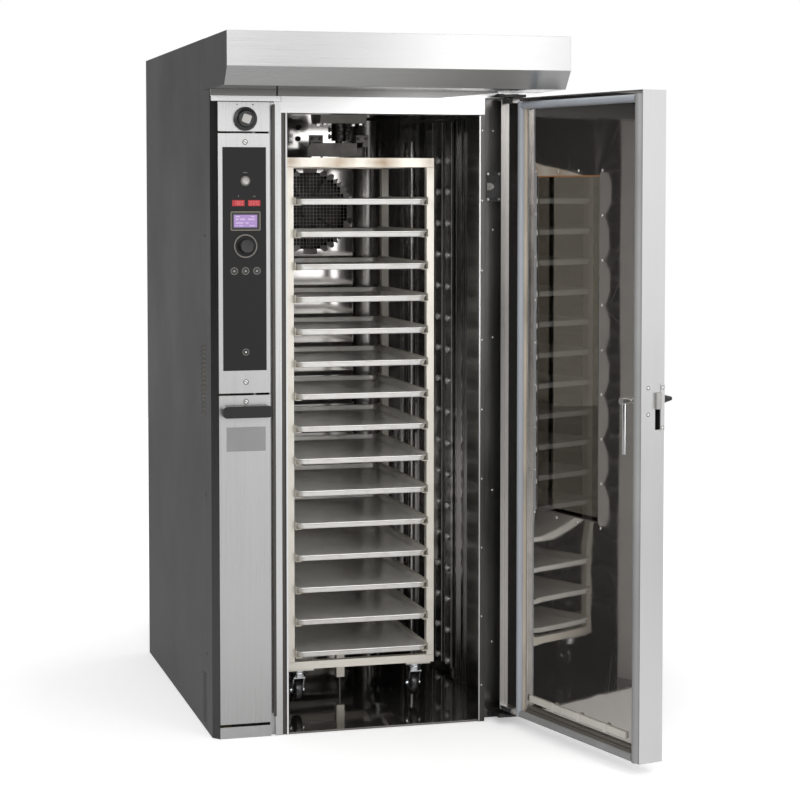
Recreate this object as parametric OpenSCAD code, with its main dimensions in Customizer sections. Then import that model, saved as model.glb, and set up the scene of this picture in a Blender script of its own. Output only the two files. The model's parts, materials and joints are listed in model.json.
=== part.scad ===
// Rotating rack oven. Millimetres, +Z up, the door side faces -Y.
// The origin is where the rack's turning axis meets the floor.

/* [Cabinet] */
// Turning axis to the outer left side
side_left = 535; // [525:1:600]
// Turning axis to the outer right side
side_right = 552; // [545:1:620]
// Turning axis to the front edge of the side panels
side_front = 495; // [490:1:520]
// Turning axis to the outer rear face
cabinet_back = 805; // [790:1:900]
// Height of the machine room over the cavity
machine_room = 158; // [150:1:250]
// Thickness of the outer sheet
sheet = 2; // [1.5:0.5:3]
// How far the front panels stand before the side panels
front_step = 25; // [15:1:30]
// Width of the chamfered corner of the column
corner_w = 21; // [10:1:30]
// Gap between neighbouring panels
seam = 0.8; // [0.4:0.1:1.5]
// Gap where two sheets of the cavity meet
weld = 0.2; // [0.1:0.1:0.5]

/* [Side panels] */
// Front edge of the louvred strip, before the axis
louvre_front = 408; // [400:1:420]
// Rear edge of the louvred strip, before the axis
louvre_back = 317; // [300:1:330]
// Seam between the middle and the rear panel, behind the axis
rear_seam = 254; // [200:1:300]
// Distance between louvres
louvre_pitch = 14; // [12:1:20]
// Height of one louvre slot
louvre_h = 5; // [3:1:7]
// Margin between a louvre and the edges of its strip
louvre_margin = 16; // [10:1:25]
// Lowest louvre of the upper group
louvre_upper = 1016; // [950:1:1050]
// Lowest louvre of the lower group
louvre_lower = 20; // [15:1:60]
// Louvres in the upper group
louvre_upper_count = 16; // [4:1:20]
// Louvres in the lower group
louvre_lower_count = 12; // [4:1:20]
// Radius of a panel screw's head
screw_r = 5; // [3:0.5:7]
// Height of a panel screw's head
screw_h = 1.5; // [1:0.5:3]

/* [Doorway] */
// Turning axis to the left side of the doorway
door_left = 294; // [285:1:300]
// Turning axis to the right side of the doorway
door_right = 337; // [330:1:345]
// Height of the doorway
doorway_h = 1970; // [1750:1:2100]
// Thickness of the front wall
wall_t = 130; // [120:1:135]
// Width of the flat land that the seal meets on the right
land_w = 21; // [15:1:25]
// Depth of the hinge recess behind the front face
recess = 45; // [40:1:60]
// Width of the corner strip to the right of the hinge recess
corner_strip = 21; // [12:1:30]

/* [Hood] */
// Turning axis to the front of the hood
hood_front = 784; // [700:1:850]
// Underside of the hood above the doorway
hood_rise = 73; // [70:1:80]
// Height of the hood's slanted band
hood_band = 56; // [40:1:90]
// How far the slanted band runs back
hood_slant = 47; // [30:1:80]

/* [Column] */
// Turning axis to the right edge of the column's panels
panel_right = 350; // [348:1:352]
// Underside of the strip above the column, above the doorway
fascia_rise = 35; // [30:1:40]
// Height of the strip above the column
fascia_h = 17; // [10:1:25]
// Width of the polished strip beside the doorway
trim_w = 23; // [15:1:25]
// Width of the dark seal strip beside the doorway
dark_w = 13; // [8:1:15]
// Width of the doorway's left sheet edge
edge_w = 6; // [3:1:8]
// Height of the plinth
plinth_h = 36; // [30:1:42]
// Underside of the service panel
service_bottom = 45; // [43:1:60]
// Underside of the control panel
control_bottom = 1093; // [1091:1:1100]
// Gap between the column's panels
panel_seam = 6; // [3:0.5:8]
// Height of the damper panel
damper_h = 92; // [85:1:120]
// Centre line of the knobs and buttons, left of the axis
control_line = 428; // [426:1:430]

/* [Controls] */
// Left edge of the black glass, left of the axis
glass_left = 500; // [498:1:503]
// Right edge of the black glass, left of the axis
glass_right = 362; // [360:1:364]
// Underside of the black glass above the panel's lower edge
glass_foot = 71; // [50:1:90]
// Top of the black glass below the panel's upper edge
glass_head = 43; // [35:1:60]
// Thickness of the black glass
glass_t = 4; // [3:0.5:6]
// How far the glass stands before the panel
glass_proud = 0.5; // [0.2:0.1:1]
// Start button below the top of the glass
start_drop = 105; // [80:1:130]
// Radius of the start button's cap
start_r = 11; // [9:0.5:13]
// Radius of the start button's bezel
start_bezel_r = 15; // [14:0.5:18]
// Red displays below the top of the glass
led_drop = 174; // [160:1:185]
// Width of a red display
led_w = 39; // [30:1:44]
// Height of a red display
led_h = 18.5; // [12:0.5:25]
// Distance between the centres of the red displays
led_pitch = 50; // [46:1:56]
// Graphic display below the top of the glass
screen_drop = 230; // [222:1:238]
// Width of the graphic display
screen_w = 75; // [60:1:80]
// Height of the graphic display
screen_h = 40; // [30:1:48]
// Width of the metal border round the graphic display
bezel_w = 10; // [5:1:14]
// Encoder knob below the top of the glass
encoder_drop = 308; // [300:1:320]
// Radius of the encoder knob
encoder_r = 22; // [15:1:26]
// How far the encoder knob stands out
encoder_h = 30; // [15:1:40]
// Radius of the ring round the encoder knob
encoder_ring_r = 37; // [32:1:39]
// Menu buttons below the top of the glass
menu_drop = 386; // [375:1:400]
// Distance between menu buttons
menu_pitch = 36; // [33:1:40]
// Radius of a menu button
menu_r = 9; // [6:0.5:11]
// Width of the ring round a button
ring_w = 3; // [1:0.5:4]
// Lower button above the foot of the glass
service_rise = 58; // [40:1:80]
// Radius of the lower button
service_r = 8; // [5:0.5:10]
// Stroke of the small buttons
small_stroke = 1.5; // [1:0.5:2.5]
// Stroke of the start button
start_stroke = 3; // [2:0.5:4]
// Gap round a button in its hole
button_gap = 0.4; // [0.3:0.1:0.8]
// Damper knob above the lower edge of its panel
damper_rise = 39; // [38:1:60]
// Radius of the damper knob
damper_knob_r = 37; // [30:1:39]
// How far the damper knob stands out
damper_knob_h = 26; // [15:1:35]

/* [Service panel] */
// Length of the bow handle
handle_l = 160; // [140:1:160]
// Height of the bow handle
handle_h = 37; // [30:1:45]
// Bow handle below the top of its panel
handle_drop = 46; // [40:1:80]
// How far the bow handle stands out
handle_out = 32; // [28:1:50]
// Finger gap behind the bow handle
finger_gap = 22; // [18:1:26]
// Width of the plain data plate
plate_w = 124; // [100:1:140]
// Height of the plain data plate
plate_h = 76; // [60:1:90]
// Data plate below the top of its panel
plate_drop = 138; // [120:1:200]
// Screw below the top of the service panel
service_screw_drop = 20; // [14:1:20]
// Radius of a quarter-turn screw's head
quarter_r = 6; // [4:0.5:8]

/* [Cavity] */
// Half the width of the cavity
cavity_half = 450; // [445:1:460]
// Turning axis to the cavity's rear wall
cavity_back = 438; // [430:1:460]
// Ceiling of the cavity above the doorway
ceiling_rise = 15; // [10:1:25]
// Thickness of the floor plate
floor_t = 6; // [4:1:8]
// Thickness of the cavity's sheet
liner_t = 2; // [1.5:0.5:3]
// Depth of the air space behind the rear wall
plenum = 200; // [190:1:240]
// Thickness of the rear insulation
rear_insulation = 58; // [40:1:70]
// Thickness of the ceiling insulation
top_insulation = 60; // [40:1:64]

/* [Air system] */
// Fan's axis below the ceiling
fan_drop = 331; // [250:1:400]
// Radius of the fan guard's pattern of holes
guard_r = 145; // [120:1:150]
// Side of a square hole in the fan guard
guard_hole = 15; // [8:1:18]
// Distance between the guard's holes
guard_pitch = 22; // [20:1:30]
// Width of the fan guard's rim
guard_rim = 12; // [6:1:12]
// Radius of the fan wheel
impeller_r = 140; // [110:1:145]
// Length of the fan wheel
impeller_l = 80; // [50:1:100]
// Blades of the fan wheel
blades = 12; // [6:1:16]
// Radius of the fan's shaft
fan_shaft_r = 9; // [6:0.5:12]
// Radius of the heater rings
heater_r = 175; // [165:1:200]
// Radius of a heater tube
heater_tube_r = 6; // [4:0.5:8]
// Heater rings
heater_count = 3; // [1:1:4]
// Left edge of the rear air column, right of the axis
column_left = 158; // [150:1:170]
// Width of the rear air column
column_w = 115; // [90:1:120]
// Depth of the rear air column
column_d = 38; // [20:1:40]
// Front edge of the first bolted strip, behind the axis
strip_front = 102; // [100:1:120]
// Width of a bolted strip
strip_w = 118; // [100:1:125]
// Thickness of a bolted strip
strip_t = 12; // [6:1:15]
// Highest strip bolt below the ceiling
strip_bolt_gap = 151.4; // [60:0.1:200]
// Lowest bolt of the strips
strip_bolt_z = 48; // [45:1:60]
// Bolts in one column of the strips
strip_bolts = 17; // [8:1:17]
// Radius of a strip bolt's head
strip_bolt_r = 9; // [5:0.5:11]
// Steam pipe's place, right of the axis
steam_x = 372; // [360:1:390]
// Steam pipe's place, behind the axis
steam_y = 405; // [398:1:415]
// Radius of the steam pipe
steam_r = 12.5; // [8:0.5:14]
// Top of the steam pipe below the ceiling
steam_gap = 80; // [70:1:150]

/* [Lamp] */
// Width of the lamp cover
lamp_w = 57; // [50:1:64]
// Height of the lamp cover
lamp_h = 100; // [80:1:110]
// Lamp cover below the top of the doorway
lamp_drop = 230; // [190:1:270]
// Left edge of the lamp cover, right of the axis
lamp_left = 370; // [366:1:376]
// Thickness of the lamp cover
lamp_glass_t = 4; // [3:0.5:4.5]

/* [Rack drive] */
// Width of the rack's gearbox
gearbox_w = 180; // [140:1:220]
// Depth of the rack's gearbox
gearbox_d = 150; // [120:1:200]
// Height of the rack's gearbox
gearbox_h = 60; // [55:1:90]
// Radius of the rack's motor
rack_motor_r = 28; // [24:1:30]
// Length of the rack's motor
rack_motor_l = 170; // [120:1:240]
// Radius of the drive shaft
drive_r = 15; // [12:0.5:18]
// Radius of the coupling under the bearing plate
coupling_r = 25; // [22:0.5:28]
// Length of the coupling
coupling_l = 57; // [54:1:60]
// Thickness of the ceiling bearing plate
bearing_h = 32; // [27:1:35]
// Width of the ceiling bearing plate
bearing_w = 160; // [120:1:180]
// Radius of the yoke's stem
stem_r = 12; // [8:0.5:14]
// Running gap on a radius
run = 0.06; // [0.02:0.01:0.1]
// Gap between the yoke and the coupling
yoke_gap = 8; // [6:1:10]
// Height of the yoke's plates
yoke_h = 46; // [40:1:48]
// Distance from the axis to a prong
prong_x = 80; // [75:1:85]
// Width of a prong
prong_w = 20; // [14:1:24]
// Thickness of a prong
prong_h = 16; // [10:1:20]

/* [Rack] */
// Width of the rack
rack_w = 500; // [480:1:506]
// Depth of the rack
rack_d = 600; // [560:1:620]
// Width of the rack's square tube
tube = 25; // [20:1:27]
// Height of the rack's top bars
top_bar = 30; // [25:1:32]
// Height of a stirrup
stirrup_h = 56; // [54:1:60]
// Underside of the rack's frame
rack_bottom = 156; // [154:1:160]
// Trays
tray_count = 15; // [8:1:15]
// Rim of the lowest tray
tray_first = 220; // [215:1:225]
// Highest tray's rim below the top of the rack
tray_head = 132.8; // [60:0.1:180]
// Length of a tray, front to back
tray_l = 650; // [600:1:655]
// Height of a tray's rim
tray_h = 20; // [15:1:30]
// Thickness of a tray's sheet
tray_t = 1.5; // [1:0.5:2]
// Radius of a tray's corners
tray_corner = 28; // [10:1:40]
// Gap between a tray and the runners' webs
tray_gap = 0.5; // [0.3:0.1:2]
// Width of a runner's shelf
runner_w = 20; // [12:1:30]
// Thickness of a runner
runner_t = 1.5; // [1:0.5:2.5]
// How high a runner's web stands above its shelf
runner_web = 26; // [22:1:35]
// Side of the block under the rack's centre
guide_w = 28; // [24:1:40]
// Underside of that block
guide_bottom = 55; // [52:1:60]
// Radius of the floor's centre pin
guide_pin_r = 4; // [3:0.5:6]
// Top of the floor's centre pin
guide_pin_top = 80; // [70:1:85]

/* [Castors] */
// Castor to castor across the rack
castor_x = 400; // [380:1:410]
// Castor to castor along the rack
castor_y = 476; // [440:1:490]
// Radius of a castor wheel
wheel_r = 40; // [35:1:42]
// Width of a castor wheel
wheel_w = 28; // [20:1:32]
// Height of a castor wheel's axle
axle_z = 70; // [69.5:0.5:72]
// Distance from a castor's swivel axis to its axle
trail = 22; // [12:1:28]
// Radius of a castor's axle
axle_r = 5; // [3:0.5:6]
// Thickness of a fork's legs
fork_t = 3; // [2:0.5:4]
// Gap between a wheel and its fork
wheel_gap = 2; // [1:0.5:4]

/* [Door] */
// Hinge axis, right of the turning axis
pivot_x = 433.4; // [430:0.1:436]
// Hinge axis, before the turning axis
pivot_y = 553.4; // [552:0.1:554]
// Angle at which the door stands open
open_angle = 103.8; // [90:0.1:110]
// Free edge of the door when it is shut, left of the axis
leaf_left = 309; // [305:1:311]
// Hinge edge of the door when it is shut, right of the axis
leaf_right = 467; // [462:1:468]
// Underside of the door
leaf_bottom = 38; // [38:1:45]
// Top of the door above the doorway
leaf_over = 50; // [40:1:52]
// Gap between the shut door's seal and the front wall
seal_gap = 0.5; // [0.3:0.1:1]
// How far the seal stands before the door's inner skin
seal_h = 30; // [25:1:34]
// Width of the seal
seal_w = 40; // [30:1:45]
// How far the door's rim stands before its inner skin
rim_h = 15; // [8:1:20]
// Inner skin to outer skin
leaf_t = 68; // [60:1:68]
// Gap above the door
door_clear = 3; // [2:0.5:4]
// Thickness of the door's sheet
leaf_sheet = 2; // [1.5:0.5:3]
// Outer edge of the seal from the turning axis, hinge side
seal_right = 349; // [346:1:352]
// Outer edge of the seal from the turning axis, free side
seal_left = 307; // [304:1:308]
// Top of the door's seal above the doorway
seal_over = 26; // [20:1:34]
// Left edge of the window, left of the axis
window_left = 69; // [50:1:90]
// Right edge of the window, right of the axis
window_right = 271; // [240:1:280]
// Underside of the window
window_bottom = 721; // [700:1:760]
// Top of the window below the doorway
window_drop = 197; // [150:1:260]
// How far the panes reach past the window's edge
pane_lap = 15; // [8:1:20]
// Thickness of a pane
pane_t = 5; // [4:0.5:8]
// Radius of a hinge pin
hinge_pin_r = 8; // [5:0.5:9]
// Hinge plate's left edge from the pin
hinge_left = 48; // [40:1:60]
// Hinge plate's right edge from the pin
hinge_right = 40; // [35:1:50]
// Hinge plate's front edge from the pin
hinge_reach = 30; // [20:1:40]
// Thickness of the hinge plates
hinge_plate = 8; // [5:0.5:9]

/* [Latch] */
// Height of the handle's spindle
spindle_z = 1110; // [1090:1:1130]
// Spindle, left of the axis when the door is shut
spindle_x = 255; // [250:1:258]
// Radius of the spindle
spindle_r = 7; // [5:0.5:9]
// How far the inner lever stands out
inner_out = 50; // [40:1:55]
// Length of the inner lever
inner_l = 157; // [120:1:180]
// Radius of the inner lever
inner_r = 7.5; // [5:0.5:9]
// How far the outer hub stands out
hub_out = 64; // [50:1:75]
// Radius of the outer hub's foot
hub_r = 22; // [15:1:26]
// Length of the outer lever
lever_l = 105; // [80:1:140]
// Radius of the outer lever
lever_r = 9; // [6:0.5:12]
// Height of the latch tongue
tongue_h = 48; // [30:1:55]
// Stroke of the latch tongue
tongue_stroke = 50; // [30:1:55]
// Depth of the latch slot, front to back
slot_w = 18; // [12:1:22]
// How far the tongue stands out of the door's edge
tongue_out = 10; // [6:1:14]

/* [Services] */
// Outer radius of the exhaust spigot
spigot_r = 75; // [60:1:80]
// Exhaust spigot, left of the axis
spigot_x = 250; // [230:1:270]
// Exhaust spigot, behind the axis
spigot_y = 250; // [230:1:270]
// How far the spigot stands above the roof
spigot_out = 55; // [40:1:60]
// Gap round the damper flap
flap_gap = 1.5; // [1:0.5:3]
// Radius of the water inlet's thread
inlet_r = 10.5; // [8:0.5:13]
// Radius of the cable gland's bore
gland_bore_r = 9; // [6:0.5:11]

/* [Hidden] */
$fn = 48;

hood_bottom = doorway_h + hood_rise;
hood_bend = hood_bottom + hood_band;
fascia_bottom = doorway_h + fascia_rise;
damper_top = fascia_bottom - 2;
damper_bottom = damper_top - damper_h;
damper_z = damper_bottom + damper_rise;
control_top = damper_bottom - panel_seam;
service_top = control_bottom - panel_seam - 1;
handle_z = service_top - handle_drop;
plate_z = service_top - plate_drop;
service_screw_z = service_top - service_screw_drop;
glass_bottom = control_bottom + glass_foot;
glass_top = control_top - glass_head;
start_z = glass_top - start_drop;
led_z = glass_top - led_drop;
screen_z = glass_top - screen_drop;
encoder_z = glass_top - encoder_drop;
menu_z = glass_top - menu_drop;
service_z = glass_bottom + service_rise;
cavity_top = doorway_h + ceiling_rise;
fan_z = cavity_top - fan_drop;
strip_pitch = (cavity_top - strip_bolt_gap - strip_bolt_z) / (strip_bolts - 1);
steam_top = cavity_top - steam_gap;
nozzle_drops = [48, 256, 354];
wall_bolt_x = 44;
rail_places = [-10, 70];
lamp_z = doorway_h - lamp_drop;
bearing_bottom = cavity_top - bearing_h;
coupling_bottom = bearing_bottom - coupling_l;
yoke_top = coupling_bottom - yoke_gap;
stirrup_head = yoke_top + 2;
rack_top = stirrup_head - stirrup_h;
tray_pitch = (rack_top - tray_head - tray_first) / (tray_count - 1);
leaf_top = doorway_h + leaf_over;
seal_top = doorway_h + seal_over;
window_top = doorway_h - window_drop;
front = -side_front - front_step;
wall_back = front + wall_t;
plenum_back = cavity_back + plenum;
motor_face = plenum_back + liner_t + rear_insulation;
recess_face = front + recess;
panel_left = -side_left + corner_w;
liner_half = cavity_half + liner_t;
liner_top = cavity_top + liner_t;
deck = liner_top + top_insulation;
cabinet_h = deck + machine_room;
inside_back = cabinet_back - sheet;
panel_screws = [249, 760, 1585];
rack_half_x = rack_w / 2;
rack_half_y = rack_d / 2;
rack_inner = rack_half_x - tube;
runner_inner = rack_inner - runner_t;
tray_half = runner_inner - tray_gap;
runner_end = tray_l / 2 - 2;
lift = axle_z - wheel_r - floor_t;
seal_face = front - seal_gap;
inner_skin = seal_face - seal_h;
rim_face = inner_skin + rim_h;
outer_skin = inner_skin - leaf_t;
pane_left = -window_left - pane_lap;
pane_right = window_right + pane_lap;
pane_bottom = window_bottom - pane_lap;
pane_top = window_top + pane_lap;
button_shaft = 14;
led_left = -control_line + 3 - led_pitch / 2;
flue_r = spigot_r - 1;
flue_hole_r = flue_r + 0.3;
flap_r = flue_r - sheet - flap_gap;
flap_z = deck + 70;
inlet_x = 400;
inlet_z = 300;
inlet_hole_r = inlet_r - 1;
gland_x = -400;
gland_z = cabinet_h - 85;
gland_body_r = gland_bore_r + 5;
damper_shaft_r = 5;
encoder_shaft_r = 4;
flap_shaft_r = 4;
hub_gap = 0.3;
castor_plate = rack_bottom - 8;
kingpin_r = 7;
kingpin_h = 6;
glass_face = front - glass_proud;
slot_y = outer_skin + 15;
slot_top = spindle_z + 26;
slot_bottom = slot_top - tongue_h - tongue_stroke - 12;

// Box between two opposite corners.
module block(low, high) {
    translate(low) cube(high - low);
}

// Round bar along X, Y or Z from its starting point.
module bar_x(start, r, l) {
    translate(start) rotate([0, 90, 0]) cylinder(r = r, h = l);
}

module bar_y(start, r, l) {
    translate(start) rotate([-90, 0, 0]) cylinder(r = r, h = l);
}

module bar_z(start, r, l) {
    translate(start) cylinder(r = r, h = l);
}

// Flat rectangle with round corners, centred, standing in the XZ plane and
// reaching from y = 0 towards -Y.
module face_plate(w, h, corner, t) {
    rotate([90, 0, 0]) linear_extrude(t) union() {
        square([w - 2 * corner, h], center = true);
        square([w, h - 2 * corner], center = true);
        for (x = [-1, 1], z = [-1, 1]) {
            translate([x * (w / 2 - corner), z * (h / 2 - corner)]) circle(corner);
        }
    }
}

// Places its children where the open door carries them.
module hung() {
    translate([pivot_x, -pivot_y, 0]) rotate([0, 0, open_angle])
        translate([-pivot_x, pivot_y, 0]) children();
}

// One side panel between two depths, with its sheet on the outer face.
module side_sheet(x, y0, y1, top) {
    block([x, y0, 0], [x + sheet, y1, top]);
}

module floor_plate() {
    color("gainsboro") {
        union() {
            block([-cavity_half, wall_back, 0], [cavity_half, plenum_back, floor_t]);
            block([-door_left, front + sheet * 2, 0], [door_right, wall_back, floor_t]);
        }
        bar_z([0, 0, floor_t], guide_pin_r, guide_pin_top - floor_t);
    }
}

module louvres(x, first, count) {
    for (i = [0 : count - 1]) {
        z = first + i * louvre_pitch;
        block([x - 1, -louvre_front + louvre_margin, z],
              [x + sheet + 1, -louvre_back - louvre_margin, z + louvre_h]);
    }
}

module left_side_panels() {
    color("dimgray") {
        side_sheet(-side_left, -side_front, -louvre_front - seam, hood_bottom - seam);
        difference() {
            side_sheet(-side_left, -louvre_front, -louvre_back - seam, cabinet_h);
            louvres(-side_left, louvre_upper, louvre_upper_count);
            louvres(-side_left, louvre_lower, louvre_lower_count);
        }
        side_sheet(-side_left, -louvre_back, rear_seam - seam, cabinet_h);
        side_sheet(-side_left, rear_seam, cabinet_back, cabinet_h);
        for (z = panel_screws) {
            bar_x([-side_left - screw_h, -louvre_front + louvre_margin / 2, z], screw_r, screw_h);
        }
    }
}

module right_side_panels() {
    color("dimgray") {
        side_sheet(side_right - sheet, -side_front, -louvre_front - seam, hood_bottom - seam);
        side_sheet(side_right - sheet, -louvre_front, rear_seam - seam, cabinet_h);
        side_sheet(side_right - sheet, rear_seam, cabinet_back, cabinet_h);
        for (z = panel_screws) {
            bar_x([side_right, -louvre_front + louvre_margin / 2, z], screw_r, screw_h);
        }
    }
}

module rear_panel() {
    color("dimgray") difference() {
        block([sheet - side_left, inside_back, 0],
              [side_right - sheet, cabinet_back, cabinet_h - sheet]);
        bar_y([inlet_x, inside_back - 1, inlet_z], inlet_hole_r, sheet + 2);
        bar_y([gland_x, inside_back - 1, gland_z], gland_body_r, sheet + 2);
    }
}

module roof_panel() {
    color("silver") difference() {
        block([sheet - side_left, -louvre_front, cabinet_h - sheet],
              [side_right - sheet, cabinet_back, cabinet_h]);
        bar_z([-spigot_x, spigot_y, cabinet_h - sheet - 1], flue_hole_r, sheet + 2);
    }
}

// Outline of the hood in the YZ plane, drawn in by one inset on its front.
function hood_outline(inset, back) = [
    [back, cabinet_h - inset],
    [-hood_front + inset, cabinet_h - inset],
    [-hood_front + inset, hood_bend + inset / 2],
    [-hood_front + hood_slant + inset, hood_bottom + inset],
    [back, hood_bottom + inset]];

module hood_prism(x0, x1, inset, back) {
    translate([x0, 0, 0]) rotate([90, 0, 90]) linear_extrude(x1 - x0)
        polygon(hood_outline(inset, back));
}

module hood_shell() {
    color("silver") difference() {
        hood_prism(-side_left, side_right, 0, -louvre_front - seam);
        hood_prism(sheet - side_left, side_right - sheet, sheet, -louvre_front + 1);
    }
}

module lintel() {
    left = -door_left - edge_w - dark_w;
    right = door_right + land_w - sheet;
    color("white") {
        union() {
            block([left, front, doorway_h], [right, front + sheet, hood_bottom]);
            block([right, front, leaf_top + door_clear], [side_right, front + sheet, hood_bottom]);
            block([-door_left - edge_w, front + sheet, doorway_h],
                  [right, wall_back - liner_t - weld, doorway_h + sheet]);
            block([right, front + sheet, leaf_top + door_clear],
                  [side_right - sheet, recess_face, leaf_top + door_clear + sheet]);
        }
        block([-side_left, front, fascia_bottom],
              [left - seam, front + sheet, fascia_bottom + fascia_h]);
        block([-side_left, front + 10, fascia_bottom + fascia_h],
              [left - seam, front + 10 + sheet, hood_bottom]);
        block([-side_left, front + sheet, fascia_bottom + fascia_h - sheet],
              [left - seam, front + 10, fascia_bottom + fascia_h]);
    }
}

module column_post() {
    trim_right = -door_left - edge_w - dark_w;
    gap_back = front + 20;
    color("silver") {
        linear_extrude(fascia_bottom) polygon([
            [-side_left, -side_front], [panel_left - seam, front], [panel_left - seam, -side_front]]);
        block([panel_left - seam, front, 0], [-panel_right, front + sheet, plinth_h]);
        union() {
            block([-panel_right, gap_back, 0], [-door_left - edge_w, gap_back + sheet, fascia_bottom]);
            block([trim_right - trim_w, front, 0], [trim_right, gap_back, fascia_bottom]);
            block([trim_right, front + 6, 0], [-door_left - edge_w, gap_back, fascia_bottom]);
            block([-door_left - edge_w, front, 0], [-door_left, wall_back, doorway_h]);
        }
    }
}

module right_jamb() {
    right = door_right + land_w;
    lamp_mid = lamp_left + lamp_w / 2;
    color("silver") difference() {
        union() {
            block([door_right, front, 0], [door_right + sheet, wall_back, doorway_h]);
            block([door_right, front, 0], [right, front + sheet, doorway_h]);
            block([right - sheet, front, 0], [right, recess_face, leaf_top + door_clear]);
            block([right - sheet, recess_face, 0],
                  [side_right - sheet, recess_face + sheet, leaf_top + door_clear]);
            block([side_right - corner_strip, -side_front, 0],
                  [side_right - sheet, recess_face + sheet, leaf_top + door_clear]);
        }
        block([lamp_mid - lamp_w / 2 + 8, recess_face - 1, lamp_z - lamp_h / 2 + 14],
              [lamp_mid + lamp_w / 2 - 8, recess_face + sheet + 1, lamp_z + lamp_h / 2 - 14]);
        block([door_right - 1, front - 1, doorway_h], [right - sheet, front + sheet + 1, cabinet_h]);
    }
}

// Plate of the column between two heights.
module column_plate(bottom, top) {
    block([panel_left, front, bottom], [-panel_right, front + sheet, top]);
}

// Quarter-turn screw on the face of a column plate.
module quarter_screw(z) {
    difference() {
        bar_y([-control_line, front - 2, z], quarter_r, 2);
        translate([-control_line, front - 2, z]) rotate([0, 30, 0])
            block([-quarter_r - 1, -0.5, -0.8], [quarter_r + 1, 0.8, 0.8]);
    }
}

module damper_panel() {
    color("silver") difference() {
        column_plate(damper_bottom, damper_top);
        bar_y([-control_line, front - 1, damper_z], damper_shaft_r + run, sheet + 2);
    }
}

module control_panel() {
    color("silver") {
        difference() {
            column_plate(control_bottom, control_top);
            block([-glass_left, front - 1, glass_bottom], [-glass_right, front + sheet + 1, glass_top]);
        }
        quarter_screw(control_top - 27);
        quarter_screw(control_bottom + 35);
    }
}

module service_panel() {
    color("silver") {
        column_plate(service_bottom, service_top);
        quarter_screw(service_screw_z);
        block([-control_line - plate_w / 2, front - 1, plate_z - plate_h / 2],
              [-control_line + plate_w / 2, front, plate_z + plate_h / 2]);
    }
}

module service_handle() {
    foot = 14;
    color("#1a1a1a") difference() {
        translate([-control_line, front, handle_z - 4]) face_plate(handle_l, handle_h, 15, handle_out);
        block([-control_line - handle_l / 2 + foot, front - finger_gap, handle_z - handle_h],
              [-control_line + handle_l / 2 - foot, front + 1, handle_z + handle_h]);
    }
}

// Holes through the black glass for everything that moves.
module control_bores() {
    y = front - glass_proud - 1;
    l = glass_t + 2;
    bar_y([-control_line, y, start_z], start_r + button_gap, l);
    bar_y([-control_line, y, encoder_z], encoder_shaft_r + run, l);
    bar_y([-control_line, y, service_z], service_r + button_gap, l);
    for (i = [-1 : 1]) {
        bar_y([-control_line + i * menu_pitch, y, menu_z], menu_r + button_gap, l);
    }
}

module control_glass() {
    color("#161616") difference() {
        block([-glass_left + 0.3, front - glass_proud, glass_bottom + 0.3],
              [-glass_right - 0.3, front - glass_proud + glass_t, glass_top - 0.3]);
        control_bores();
    }
}

module face_ring(x, z, outer, inner, t) {
    difference() {
        bar_y([x, glass_face - t, z], outer, t);
        bar_y([x, glass_face - t - 1, z], inner, t + 2);
    }
}

module display_set() {
    color("darkred") for (i = [0 : 1]) {
        x = led_left + i * led_pitch;
        block([x - led_w / 2, glass_face - 0.6, led_z - led_h / 2],
              [x + led_w / 2, glass_face, led_z + led_h / 2]);
    }
    color("gray") {
        face_ring(-control_line, start_z, start_bezel_r, start_r + button_gap, 3);
        face_ring(-control_line, encoder_z, encoder_ring_r, encoder_ring_r - 4, 3);
        face_ring(-control_line, service_z, service_r + ring_w, service_r + button_gap, 0.8);
        for (i = [-1 : 1]) {
            face_ring(-control_line + i * menu_pitch, menu_z, menu_r + ring_w, menu_r + button_gap, 0.8);
        }
        difference() {
            translate([-control_line, glass_face, screen_z])
                face_plate(screen_w + 2 * bezel_w, screen_h + 2 * bezel_w, 4, 3);
            translate([-control_line, glass_face + 1, screen_z])
                face_plate(screen_w, screen_h, 2, 5);
        }
    }
    color("mediumpurple") block([-control_line - screen_w / 2 + 0.3, glass_face - 1, screen_z - screen_h / 2 + 0.3],
        [-control_line + screen_w / 2 - 0.3, glass_face, screen_z + screen_h / 2 - 0.3]);
}

// Sheets of the cavity; each meets its neighbours across the weld gap.
module cavity_liner() {
    left_return = -door_left - edge_w;
    right_return = door_right + sheet;
    color("gainsboro") {
        block([-liner_half, wall_back + weld, 0], [-cavity_half, plenum_back - weld, liner_top]);
        block([cavity_half, wall_back + weld, 0], [liner_half, plenum_back - weld, liner_top]);
        difference() {
            block([weld - cavity_half, wall_back + weld, cavity_top],
                  [cavity_half - weld, plenum_back - weld, liner_top]);
            bar_z([0, 0, cavity_top - 1], drive_r + 5, liner_t + 2);
            bar_z([-spigot_x, spigot_y, cavity_top - 1], flue_hole_r, liner_t + 2);
        }
        block([-liner_half, wall_back - liner_t, 0], [left_return - weld, wall_back, liner_top]);
        block([right_return + weld, wall_back - liner_t, 0], [liner_half, wall_back, liner_top]);
        block([left_return, wall_back - liner_t, doorway_h + sheet + weld],
              [right_return, wall_back, liner_top]);
        difference() {
            block([-liner_half, plenum_back, 0], [liner_half, plenum_back + liner_t, liner_top]);
            bar_y([0, plenum_back - 1, fan_z], fan_shaft_r + 5, liner_t + 2);
        }
    }
}

module cavity_rear_wall() {
    color("gainsboro") {
        difference() {
            block([-cavity_half, cavity_back, floor_t], [cavity_half, cavity_back + liner_t, cavity_top]);
            bar_y([0, cavity_back - 1, fan_z], guard_r, liner_t + 2);
        }
        for (drop = [32, 72]) {
            bar_y([-wall_bolt_x, cavity_back - 6, cavity_top - drop], strip_bolt_r, 6);
        }
    }
}

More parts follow.
